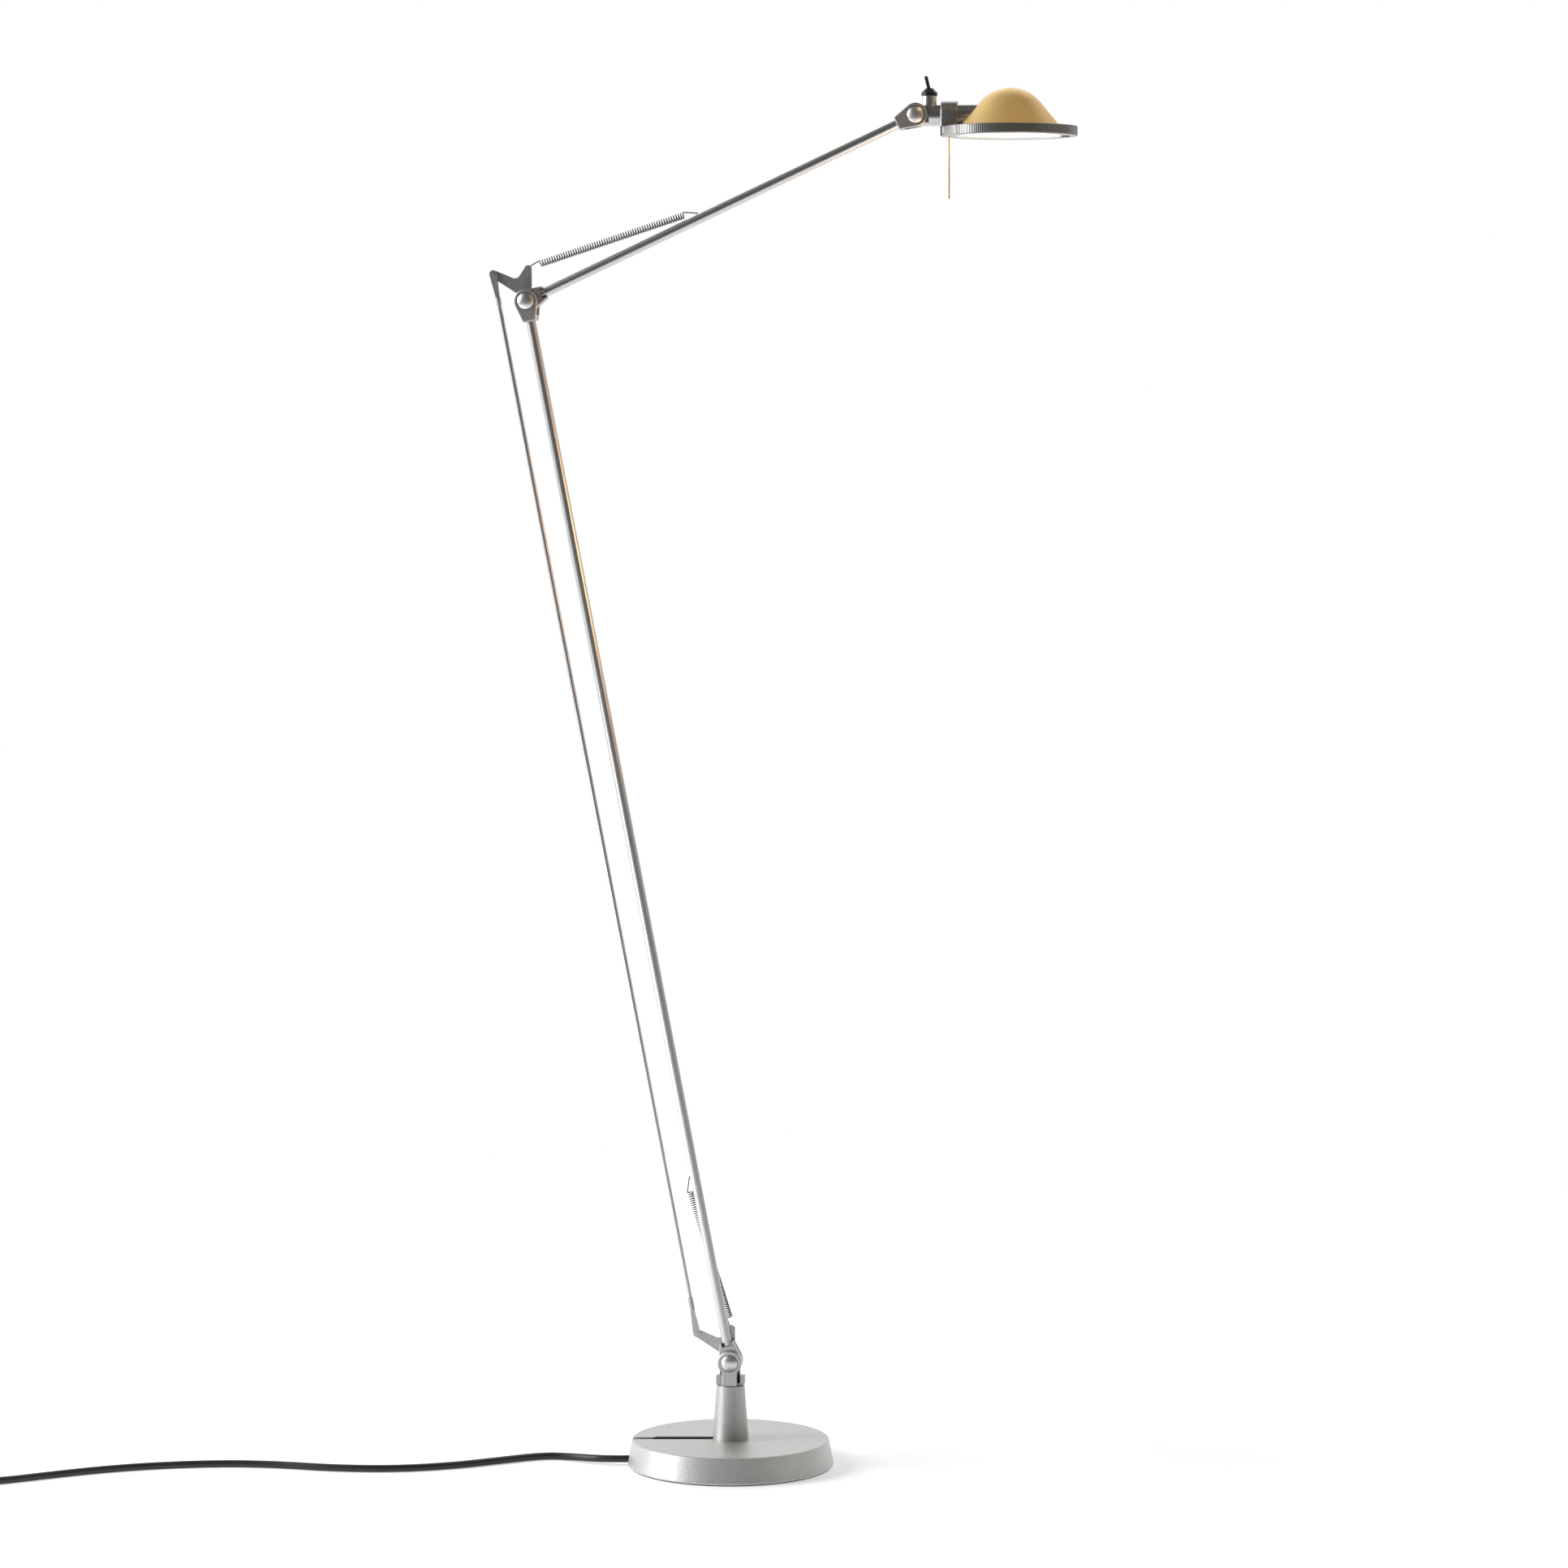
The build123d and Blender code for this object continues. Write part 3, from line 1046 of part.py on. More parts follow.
with BuildPart() as plug_body:
    with BuildSketch(PLUG_PLANE):
        with BuildLine():
            half = PLUG_FRONT_WIDTH / 2
            Polyline((PLUG_NECK, -6.6), (PLUG_NECK, 6.6), (PLUG_NECK + 9, 8.0), (PLUG_NECK + 24, half),
                     (PLUG_NECK + PLUG_LENGTH, half), (PLUG_NECK + PLUG_LENGTH, -half),
                     (PLUG_NECK + 24, -half), (PLUG_NECK + 9, -8.0), close=True)
        make_face()
    extrude(amount=PLUG_THICKNESS)
    fillet(plug_body.edges().filter_by(Axis.Z), 1.8)
    fillet(plug_body.faces().filter_by(Axis.Z).edges(), 1.6)
    neck = Plane(origin=TAIL_ROUTE[-1], x_dir=(0, 0, 1), z_dir=PLUG_WAY)
    with BuildSketch(neck):
        Circle(3.6)
    with BuildSketch(neck.offset(PLUG_NECK)):
        Circle(5.4)
    loft()
save(plug_body.part, "plug_body")

with BuildPart() as plug_pins:
    front = PLUG_PLANE.offset(PLUG_THICKNESS / 2).origin + PLUG_WAY * (PLUG_NECK + PLUG_LENGTH)
    with BuildSketch(Plane(origin=front, x_dir=(0, 0, 1), z_dir=PLUG_WAY)):
        with Locations((0, PIN_SPACING / 2), (0, -PIN_SPACING / 2)):
            Circle(PIN_R)
    extrude(amount=PIN_LENGTH)
    fillet(plug_pins.faces().sort_by(Axis.Y)[-2:].edges(), 1.2)
save(plug_pins.part, "plug_pins")
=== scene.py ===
from math import cos, pi, radians, sin

import bmesh
import bpy
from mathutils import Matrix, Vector


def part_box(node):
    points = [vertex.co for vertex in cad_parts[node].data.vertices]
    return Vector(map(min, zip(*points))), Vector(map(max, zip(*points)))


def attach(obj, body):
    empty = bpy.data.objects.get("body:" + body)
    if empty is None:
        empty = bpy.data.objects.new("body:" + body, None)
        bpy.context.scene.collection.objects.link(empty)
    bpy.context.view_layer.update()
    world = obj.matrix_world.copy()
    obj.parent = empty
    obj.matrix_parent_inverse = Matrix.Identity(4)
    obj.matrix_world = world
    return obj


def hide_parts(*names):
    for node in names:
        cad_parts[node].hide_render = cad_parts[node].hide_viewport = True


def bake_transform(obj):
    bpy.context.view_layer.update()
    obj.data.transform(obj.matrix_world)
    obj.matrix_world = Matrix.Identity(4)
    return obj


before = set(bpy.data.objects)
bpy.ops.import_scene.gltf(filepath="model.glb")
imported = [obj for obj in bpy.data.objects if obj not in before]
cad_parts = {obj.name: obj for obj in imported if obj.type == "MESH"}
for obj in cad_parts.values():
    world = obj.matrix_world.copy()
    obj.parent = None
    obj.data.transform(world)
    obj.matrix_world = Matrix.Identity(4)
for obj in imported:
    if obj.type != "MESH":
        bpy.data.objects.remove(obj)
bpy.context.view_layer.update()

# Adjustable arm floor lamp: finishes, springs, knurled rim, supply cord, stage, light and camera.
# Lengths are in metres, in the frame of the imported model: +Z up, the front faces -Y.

MM = 0.001


# ---------------------------------------------------------------- places read from the frame
def middle(node):
    """Centre of a node's box."""
    low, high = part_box(node)
    return (low + high) / 2


BASE_JOINT = middle("base_joint_bolt")
ELBOW = middle("elbow_bolt")
HEAD_JOINT = middle("head_joint_bolt")
LOWER_WAY = (ELBOW - BASE_JOINT).normalized()
UPPER_WAY = (HEAD_JOINT - ELBOW).normalized()
GLASS = middle("glass_diffuser")
RIM_LOW, RIM_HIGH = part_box("rim_ring")
RIM_R = (RIM_HIGH.y - RIM_LOW.y) / 2


# ---------------------------------------------------------------- camera
CAMERA_PLACE = (0.4259, -3.9694, 0.8487)
CAMERA_TILT = radians(85.82)         # a right angle is level
CAMERA_TURN = radians(5.5)           # towards -X, from straight along +Y
SENSOR_WIDTH = 36.0                  # mm
FOCAL_LENGTH = 113.8                 # mm

camera = bpy.data.objects.new("camera", bpy.data.cameras.new("camera"))
bpy.context.scene.collection.objects.link(camera)
camera.location = CAMERA_PLACE
camera.rotation_euler = (CAMERA_TILT, 0, CAMERA_TURN)
camera.data.sensor_width = SENSOR_WIDTH
camera.data.lens = FOCAL_LENGTH
camera.data.clip_end = 50.0
bpy.context.scene.camera = camera
bpy.context.scene.view_settings.view_transform = "Standard"


# ---------------------------------------------------------------- materials
# Noise and cell scales are in grains per metre.
PEEL_SCALE = 2000            # orange peel of a powder coat
FLAKE_SCALE = 2600           # metal flakes in it
FLAKE_ROUGHNESS = 0.07       # how far a flake's roughness lies from the coat's
DRAWN_SCALE = 3600           # drawing lines of a tube, across it
DRAWN_STRETCH = 0.04         # their scale along the tube, as a share of that
ALONG = 0.6                  # an axis runs along a tube when its share of the direction is above this


class Finish:
    """A node material being made: the shader, its object coordinates and what drives its sockets."""

    def __init__(self, name, **values):
        self.material = bpy.data.materials.new(name)
        self.material.use_nodes = True
        self.nodes = self.material.node_tree.nodes
        self.links = self.material.node_tree.links
        self.shader = self.nodes["Principled BSDF"]
        self.place = self.nodes.new("ShaderNodeTexCoord").outputs["Object"]
        self.set(**values)

    def set(self, **values):
        """Set shader sockets: base_color=..., roughness=..."""
        for name, value in values.items():
            socket = next(s for s in self.shader.inputs if s.name.lower() == name.replace("_", " "))
            socket.default_value = (*value, 1.0) if isinstance(value, tuple) else value

    def noise(self, scale, detail=2.0, stretch=(1, 1, 1)):
        """Noise, with its scale stretched on each axis."""
        mapping = self.nodes.new("ShaderNodeMapping")
        mapping.inputs["Scale"].default_value = stretch
        self.links.new(self.place, mapping.inputs["Vector"])
        texture = self.nodes.new("ShaderNodeTexNoise")
        texture.inputs["Scale"].default_value = scale
        texture.inputs["Detail"].default_value = detail
        texture.inputs["Roughness"].default_value = 0.6
        self.links.new(mapping.outputs["Vector"], texture.inputs["Vector"])
        return texture.outputs["Fac"]

    def cells(self, scale):
        """A random value in each small cell, for flakes."""
        texture = self.nodes.new("ShaderNodeTexVoronoi")
        texture.inputs["Scale"].default_value = scale
        self.links.new(self.place, texture.inputs["Vector"])
        split = self.nodes.new("ShaderNodeSeparateColor")
        self.links.new(texture.outputs["Color"], split.inputs["Color"])
        return split.outputs["Red"]

    def spread(self, value, low, high, start=0.3, end=0.7):
        """The value from start to end, as a number from low to high."""
        step = self.nodes.new("ShaderNodeMapRange")
        step.inputs["From Min"].default_value = start
        step.inputs["From Max"].default_value = end
        step.inputs["To Min"].default_value = low
        step.inputs["To Max"].default_value = high
        self.links.new(value, step.inputs["Value"])
        return step.outputs["Result"]

    def multiply(self, first, second):
        """Product of two values."""
        product = self.nodes.new("ShaderNodeMath")
        product.operation = "MULTIPLY"
        self.links.new(first, product.inputs[0])
        self.links.new(second, product.inputs[1])
        return product.outputs["Value"]

    def tint(self, colour, factor):
        """Make the base colour this colour times a varying factor."""
        scaled = self.nodes.new("ShaderNodeVectorMath")
        scaled.operation = "SCALE"
        scaled.inputs[0].default_value = colour
        self.links.new(factor, scaled.inputs["Scale"])
        self.links.new(scaled.outputs["Vector"], self.shader.inputs["Base Color"])

    def roughen(self, value):
        """Take the roughness from a varying value."""
        self.links.new(value, self.shader.inputs["Roughness"])
        return self

    def bump(self, height, distance, strength=1.0):
        """Raise a relief from a varying height; distance is its full height in metres."""
        relief = self.nodes.new("ShaderNodeBump")
        relief.inputs["Strength"].default_value = strength
        relief.inputs["Distance"].default_value = distance
        self.links.new(height, relief.inputs["Height"])
        self.links.new(relief.outputs["Normal"], self.shader.inputs["Normal"])
        return self


def powder_coat(name, colour, contrast=0.16, roughness=0.40, metallic=0.9):
    """Silver powder coat: fine metal flakes in a slight orange peel."""
    finish = Finish(name, metallic=metallic)
    grain = finish.noise(PEEL_SCALE)
    flakes = finish.cells(FLAKE_SCALE)
    factor = finish.multiply(
        finish.spread(grain, 1 - contrast, 1 + contrast),
        finish.spread(flakes, 1 - contrast / 2, 1 + contrast / 2, 0, 1),
    )
    finish.tint(colour, factor)
    low, high = roughness - FLAKE_ROUGHNESS, roughness + FLAKE_ROUGHNESS
    finish.roughen(finish.spread(flakes, low, high, 0, 1))
    return finish.bump(grain, 0.00005, 0.5).material


def anodised(name, colour, way, roughness=0.35):
    """Satin anodised aluminium, with fine drawing lines along the piece."""
    finish = Finish(name, metallic=1.0)
    stretch = [DRAWN_STRETCH if abs(share) > ALONG else 1 for share in way]
    lines = finish.noise(DRAWN_SCALE, stretch=stretch)
    grain = finish.noise(2600)
    finish.tint(colour, finish.spread(grain, 0.93, 1.07))
    finish.roughen(finish.spread(lines, roughness - 0.02, roughness + 0.02))
    return finish.bump(grain, 0.00003, 0.35).material


def plain_metal(name, colour, roughness, grain_scale=900, contrast=0.08, relief=0.00003):
    """Plain metal with a slightly uneven tone."""
    finish = Finish(name, metallic=1.0)
    grain = finish.noise(grain_scale, 3.0)
    finish.tint(colour, finish.spread(grain, 1 - contrast, 1 + contrast))
    finish.roughen(finish.spread(grain, roughness - 0.05, roughness + 0.05))
    return finish.bump(grain, relief, 0.4).material


def moulded(name, colour, roughness, grain_scale=1400, relief=0.00006):
    """Moulded rubber or plastic: fine matt grain and a slightly uneven sheen."""
    finish = Finish(name)
    grain = finish.noise(grain_scale, 3.0)
    patches = finish.noise(60)
    finish.tint(colour, finish.spread(patches, 0.85, 1.15))
    finish.roughen(finish.spread(grain, roughness - 0.08, roughness + 0.08))
    return finish.bump(grain, relief, 0.5).material


def gold_satin(name):
    """Satin gold reflector, with a fine bead-blasted grain."""
    finish = Finish(name, metallic=0.35)
    grain = finish.noise(2200)
    finish.tint((0.86, 0.61, 0.24), finish.spread(grain, 0.90, 1.10))
    finish.roughen(finish.spread(grain, 0.46, 0.58))
    return finish.bump(grain, 0.00004, 0.5).material


def lit_glass(name):
    """Frosted diffuser with the lamp on behind it."""
    finish = Finish(name, base_color=(0.95, 0.93, 0.88), emission_color=(1.0, 0.98, 0.95),
                    emission_strength=1.25)
    frost = finish.noise(700)
    finish.roughen(finish.spread(frost, 0.25, 0.45))
    return finish.bump(frost, 0.00002, 0.2).material


def lit_capsule(name):
    """Quartz capsule of a halogen bulb that is on."""
    finish = Finish(name, base_color=(1.0, 0.95, 0.85), emission_color=(1.0, 0.72, 0.38),
                    emission_strength=12.0)
    haze = finish.noise(300)
    return finish.roughen(finish.spread(haze, 0.05, 0.15)).material


def assign(material, *nodes):
    """Give CAD nodes a material."""
    for name in nodes:
        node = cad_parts[name]
        node.data.materials.clear()
        node.data.materials.append(material)


base_coat = powder_coat("base_coat", (0.59, 0.59, 0.58), contrast=0.24, roughness=0.45, metallic=0.78)
# The cone's coat is the base's silver powder coat made darker: painted shade, not a different finish.
cone_coat_painted_shade = powder_coat("cone_coat_painted_shade", (0.50, 0.50, 0.49), contrast=0.22, roughness=0.45, metallic=0.78)
joint_coat = powder_coat("joint_coat", (0.52, 0.52, 0.515), contrast=0.20, roughness=0.46)
# The head collar's and rim's coat is the same silver powder coat made darker: painted shade.
head_coat_painted_shade = powder_coat("head_coat_painted_shade", (0.42, 0.42, 0.415), contrast=0.28)
head_satin = plain_metal("head_satin", (0.56, 0.56, 0.555), 0.33, 2400, 0.16)
rim_underside = plain_metal("rim_underside", (0.52, 0.52, 0.515), 0.45, 5000, 0.05, relief=0.0)
lower_tube = anodised("lower_tube_aluminium", (0.67, 0.665, 0.66), LOWER_WAY)
# The upper tube's aluminium is a darker copy of the lower tube's: painted shade.
upper_tube_painted_shade = anodised("upper_tube_aluminium", (0.62, 0.615, 0.61), UPPER_WAY)
cap_steel = plain_metal("cap_steel", (0.72, 0.715, 0.71), 0.42, 1800)
zinc = plain_metal("zinc_steel", (0.55, 0.56, 0.58), 0.35)
wire_steel = plain_metal("spring_wire", (0.11, 0.108, 0.106), 0.38)
# Warm tan colour on the chrome-like handle: painted reflection of the lamp's warm light.
handle_steel = plain_metal("handle_steel", (0.86, 0.68, 0.50), 0.42, 1800, 0.20)
iron = plain_metal("raw_iron", (0.16, 0.15, 0.15), 0.7, 300, 0.3)
black_rubber = moulded("black_rubber", (0.016, 0.016, 0.017), 0.42)
cord_jacket = moulded("cord_jacket", (0.017, 0.017, 0.018), 0.40, 900)
black_plastic = moulded("black_plastic", (0.02, 0.02, 0.021), 0.36, 2200, 0.00004)
foot_rubber = moulded("foot_rubber", (0.03, 0.03, 0.03), 0.7)
nylon = moulded("nylon", (0.62, 0.60, 0.54), 0.45)
ceramic = moulded("ceramic", (0.80, 0.78, 0.73), 0.35)
pin_brass = plain_metal("pin_brass", (0.80, 0.62, 0.30), 0.25)

assign(base_coat, "base_shell")
assign(cone_coat_painted_shade, "stem_cone")
assign(joint_coat, "stem_fork", "lower_knuckle", "elbow_fork", "upper_knuckle", "head_fork")
assign(joint_coat, "lower_lever", "elbow_lever", "rod_lower_end", "rod_upper_end", "swivel_collar")
assign(head_satin, "head_tube", "socket_carrier")
assign(head_coat_painted_shade, "head_collar")
assign(lower_tube, "lower_arm_tube", "parallel_rod", "switch_boss")
assign(upper_tube_painted_shade, "upper_arm_tube")
assign(cap_steel, "base_joint_caps", "elbow_caps", "head_joint_caps")
assign(zinc, "lower_rod_rivet", "upper_rod_rivet", "plate_screws", "base_plate", "cone_nipple", "cone_nut")
assign(zinc, "shank_ring", "base_joint_bolt", "elbow_bolt", "head_joint_bolt")
assign(zinc, "lower_spring_pin", "upper_spring_pin")
assign(iron, "base_weight")
assign(foot_rubber, "foot_pad")
assign(nylon, "swivel_bush")
assign(cord_jacket, "groove_lead", "stem_lead", "lower_arm_lead", "upper_arm_lead")
assign(black_plastic, "plug_body", "cord_tie", "switch_body", "toggle_lever", "glass_catch")
assign(black_rubber, "switch_boot")
assign(pin_brass, "plug_pins")
assign(gold_satin("dome_gold"), "reflector_dome")
assign(lit_glass("lit_glass"), "glass_diffuser")
assign(lit_capsule("lit_capsule"), "halogen_bulb")
assign(ceramic, "lamp_holder")
assign(handle_steel, "handle_rod")


# ---------------------------------------------------------------- supply cord
CORD_R = 2.95 * MM
CORD_ROUTE = [               # control points from the groove's end to the coil
    (-0.0826, -0.00795, 0.0052),
    (-0.1020, -0.0098, 0.0049),
    (-0.1300, 0.0050, 0.0031),
    (-0.1550, 0.0085, 0.0030),
    (-0.1880, -0.0140, 0.0030),
    (-0.2230, -0.0380, 0.0030),
    (-0.2680, -0.0550, 0.0030),
    (-0.3180, -0.0565, 0.0030),
    (-0.3620, -0.0480, 0.0030),
    (-0.4020, -0.0465, 0.0030),
    (-0.4470, -0.0555, 0.0030),
    (-0.4930, -0.0735, 0.0030),
    (-0.5340, -0.1000, 0.0030),
    (-0.5730, -0.1300, 0.0031),
    (-0.6010, -0.1452, 0.0036),
]
TAIL_ROUTE = [               # and from the coil to the plug
    (-0.6758, -0.0974, 0.0094),
    (-0.6764, -0.0800, 0.0087),
    (-0.6735, -0.0620, 0.0074),
    (-0.6715, -0.0470, 0.00685),
]
COIL_CENTRE = Vector((-0.6335, -0.1147, 0))
COIL_OUTER_R = 42.6 * MM
COIL_PITCH = 6.1 * MM
COIL_LAYER_Z = (3.65 * MM, 9.62 * MM)
COIL_START_ANGLE = -61.5     # degrees; the turns run clockwise, seen from above
COIL_END_ANGLE = 180.0 - 7 * 360.0
LAYER_TURNS = 3.0
CLIMB_TUCK = 0.9 * MM        # how far the climb between the layers goes inside the inner turn
TURN_POINTS = 24


def coil_points():
    """Turns of the put-away length: in on the floor, up at the middle and out on top."""
    total = (COIL_START_ANGLE - COIL_END_ANGLE) / 360
    climb = total - 2 * LAYER_TURNS
    inner_r = COIL_OUTER_R - LAYER_TURNS * COIL_PITCH
    low, high = COIL_LAYER_Z
    steps = round(total * TURN_POINTS)
    points = []
    for i in range(steps + 1):
        turn = total * i / steps
        if turn < LAYER_TURNS:
            radius, z = COIL_OUTER_R - COIL_PITCH * turn, low
        elif turn < LAYER_TURNS + climb:
            share = (turn - LAYER_TURNS) / climb
            smooth_share = share * share * (3 - 2 * share)
            radius = inner_r - CLIMB_TUCK * sin(pi * share)
            z = low + (high - low) * smooth_share
        else:
            radius, z = inner_r + COIL_PITCH * (turn - LAYER_TURNS - climb), high
        angle = radians(COIL_START_ANGLE - 360 * turn)
        points.append(COIL_CENTRE + Vector((radius * cos(angle), radius * sin(angle), z)))
    return points


def spline_curve(name, points, radius, material):
    """Round cord on one smooth spline with these control points."""
    curve = bpy.data.curves.new(name, "CURVE")
    curve.dimensions = "3D"
    curve.bevel_depth = radius
    curve.bevel_resolution = 5
    curve.resolution_u = 8
    curve.use_fill_caps = True
    spline = curve.splines.new("NURBS")
    spline.points.add(len(points) - 1)
    for control, point in zip(spline.points, points):
        control.co = (*point, 1.0)
    spline.order_u = 3
    spline.use_endpoint_u = True
    curve.materials.append(material)
    piece = bpy.data.objects.new(name, curve)
    bpy.context.scene.collection.objects.link(piece)
    return piece


mains_cord = spline_curve("mains_cord", [*CORD_ROUTE, *coil_points(), *TAIL_ROUTE], CORD_R, cord_jacket)
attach(mains_cord, "base")
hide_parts("supply_cord", "cord_coil", "cord_tail")


# ---------------------------------------------------------------- springs
SPRING_R = 2.45 * MM         # to the middle of the wire
SPRING_WIRE_R = 0.5 * MM
WIRE_SIDES = 7
COIL_STEPS = 18              # points per turn
LOOP_R = 1.45 * MM           # the hook round the stud, to the middle of the wire
LOOP_START = 25              # degrees, from square to the coil
LOOP_SWEEP = 205
LOOP_STEPS = 14
HOOK_STEPS = 12              # points on the wire between loop and coil, and between coil and pin
PIN_AT = 155 * MM            # the pin in the arm tube, along the arm from its joint
PIN_LEFT = 4.6 * MM          # and where the wire goes in, square to the arm
LEVER_STUD = Vector((0, 7.6, 25.9)) * MM    # middle of the stud behind a lever's ear, from the pivot


def wire_mesh(points, radius, sides):
    """Round wire along a line of points, closed at both ends."""
    made = bmesh.new()
    rings = []
    across = (points[1] - points[0]).orthogonal().normalized()
    for i, point in enumerate(points):
        way = (points[min(i + 1, len(points) - 1)] - points[max(i - 1, 0)]).normalized()
        across = (across - way * across.dot(way)).normalized()
        other = way.cross(across)
        rings.append([made.verts.new(point + (across * cos(a) + other * sin(a)) * radius)
                      for a in (2 * pi * k / sides for k in range(sides))])
    for ring, following in zip(rings, rings[1:]):
        for k in range(sides):
            made.faces.new((ring[k], ring[(k + 1) % sides], following[(k + 1) % sides], following[k]))
    made.faces.new(reversed(rings[0]))
    made.faces.new(rings[-1])
    return made


def bezier(start, start_handle, end_handle, end, steps):
    """Points on a cubic curve, without the first."""
    points = []
    for i in range(1, steps + 1):
        t = i / steps
        points.append(start * (1 - t) ** 3 + start_handle * 3 * t * (1 - t) ** 2
                      + end_handle * 3 * t * t * (1 - t) + end * t ** 3)
    return points


def stud_loop(stud, toward):
    """Hook round a stud that lies along Y: up one side, round the far end and back towards the coil."""
    along = Vector((toward.x, 0, toward.z)).normalized()
    side = Vector((along.z, 0, -along.x))
    turn = [radians(LOOP_START - LOOP_SWEEP * i / LOOP_STEPS) for i in range(LOOP_STEPS + 1)]
    return [stud + (side * cos(a) + along * sin(a)) * LOOP_R for a in turn]


def spring_points(stud, coil_start, coil_end, pin_hook, pitch, start_side):
    """Centre line of a tension spring: a hook round the stud, the turns and a hook into the arm."""
    way = (coil_end - coil_start).normalized()
    side = (start_side - way * start_side.dot(way)).normalized()
    other = way.cross(side)
    turns = round((coil_end - coil_start).length / pitch)
    steps = turns * COIL_STEPS
    turn_points = []
    for i in range(steps + 1):
        angle = 2 * pi * i / COIL_STEPS
        centre = coil_start.lerp(coil_end, i / steps)
        turn_points.append(centre + (side * cos(angle) + other * sin(angle)) * SPRING_R)
    first, last = turn_points[0], turn_points[-1]
    loop = stud_loop(stud, coil_start - stud)
    hook_in = bezier(loop[-1], loop[-1] + (coil_start - stud).normalized() * 4 * MM,
                     first - other * 1.5 * MM - way * 3 * MM, first, HOOK_STEPS)[:-1]
    hook_out = bezier(last, last + other * 2.2 * MM + way * 1.2 * MM,
                      pin_hook.lerp(last, 0.45), pin_hook, HOOK_STEPS)
    return [*loop, *hook_in, *turn_points, *hook_out]


def beside(pivot, way, distance, left, back):
    """Point beside an arm: left square to it in the XZ plane, back along +Y."""
    return pivot + way * distance + Vector((-way.z, 0, way.x)) * left + Vector((0, back, 0))


def arm_spring(name, node, pivot, way, coil_start, coil_end, pitch, start_side):
    """A spring that stretches between the stud behind a lever's ear and the pin in the arm."""
    stud = pivot + LEVER_STUD
    pin_hook = beside(pivot, way, PIN_AT, PIN_LEFT, 0)
    points = spring_points(stud, coil_start, coil_end, pin_hook, pitch, Vector(start_side))
    made = wire_mesh(points, SPRING_WIRE_R, WIRE_SIDES)
    mesh = bpy.data.meshes.new(name)
    made.to_mesh(mesh)
    made.free()
    mesh.materials.append(wire_steel)
    mesh.shade_smooth()
    piece = bpy.data.objects.new(name, mesh)
    bpy.context.scene.collection.objects.link(piece)
    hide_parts(node)
    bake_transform(piece)


arm_spring(
    "lower_balance_spring", "lower_spring", BASE_JOINT, LOWER_WAY,
    coil_start=beside(BASE_JOINT, LOWER_WAY, 34.5 * MM, -4.8 * MM, 8.2 * MM),
    coil_end=beside(BASE_JOINT, LOWER_WAY, 141.5 * MM, 6.9 * MM, 6.5 * MM),
    pitch=1.83 * MM, start_side=(-1, 0, 0))
arm_spring(
    "upper_balance_spring", "upper_spring", ELBOW, UPPER_WAY,
    coil_start=ELBOW + Vector((10.2, 6.0, 30.2)) * MM,
    coil_end=ELBOW + Vector((126.9, 0.8, 68.1)) * MM,
    pitch=2.045 * MM, start_side=(0, 0, 1))


# ---------------------------------------------------------------- knurled rim
RIB_PITCH = 1.72 * MM
RIB_DEPTH = 0.9 * MM
RIB_EMBED = 0.1 * MM
RIM_CHAMFER = 0.5 * MM
KNURL_SPAN = radians(280)    # the rest faces the arm and is plain
UNDERSIDE_R = 46 * MM        # the rim's smooth faces round the glass lie inside this
RIB_TIP = 0.24               # half width of a rib at its tip, as a share of the step between ribs
RIB_ROOT = 0.33              # and at its root
CUTTER_STEPS = 140
CUTTER_MARGIN = 1 * MM       # how far the cutter reaches past the rim
WELD = 1e-6                  # the CAD mesh's doubled corners are joined within this
DOWNWARD = -0.9              # a face whose normal's z is below this counts as underside
SHARP_EDGE = radians(28)
RIM_CENTRE = Vector((GLASS.x, 0, 0))


def round_rim(radius, angle, z):
    """Point on the rim."""
    return RIM_CENTRE + Vector((radius * cos(angle), radius * sin(angle), z))


def prism(made, near, far):
    """Closed solid between two like outlines."""
    ends = [[made.verts.new(point) for point in outline] for outline in (near, far)]
    made.faces.new(reversed(ends[0]))
    made.faces.new(ends[1])
    for k in range(len(near)):
        following = (k + 1) % len(near)
        made.faces.new((ends[0][k], ends[0][following], ends[1][following], ends[1][k]))


def band_cutter():
    """Ring sector that takes the rim's wall back to the roots of the ribs."""
    low, high = RIM_LOW.z - CUTTER_MARGIN, RIM_HIGH.z + CUTTER_MARGIN
    inner_r, outer_r = RIM_R - RIB_DEPTH, RIM_R + CUTTER_MARGIN
    angles = [KNURL_SPAN * (i / CUTTER_STEPS - 0.5) for i in range(CUTTER_STEPS + 1)]
    made = bmesh.new()
    flat = [(inner_r, a) for a in angles] + [(outer_r, a) for a in reversed(angles)]
    prism(made, [round_rim(r, a, low) for r, a in flat], [round_rim(r, a, high) for r, a in flat])
    bmesh.ops.recalc_face_normals(made, faces=made.faces)
    mesh = bpy.data.meshes.new("band_cutter")
    made.to_mesh(mesh)
    made.free()
    cutter = bpy.data.objects.new("band_cutter", mesh)
    bpy.context.scene.collection.objects.link(cutter)
    return cutter


def add_ribs(made):
    """Upright ribs round the knurled part of the rim."""
    count = round(KNURL_SPAN * RIM_R / RIB_PITCH)
    step = KNURL_SPAN / count
    root, low, high = RIM_R - RIB_DEPTH - RIB_EMBED, RIM_LOW.z, RIM_HIGH.z
    outline = [(root, low), (RIM_R - RIM_CHAMFER, low), (RIM_R, low + RIM_CHAMFER),
               (RIM_R, high - RIM_CHAMFER), (RIM_R - RIM_CHAMFER, high), (root, high)]
    for i in range(count):
        middle_angle = (i + 0.5) * step - KNURL_SPAN / 2
        sides = []
        for way in (-1, 1):
            tip_angle = middle_angle + way * step * RIB_TIP
            root_angle = middle_angle + way * step * RIB_ROOT
            sides.append([round_rim(r, tip_angle if r == RIM_R else root_angle, z) for r, z in outline])
        prism(made, *sides)


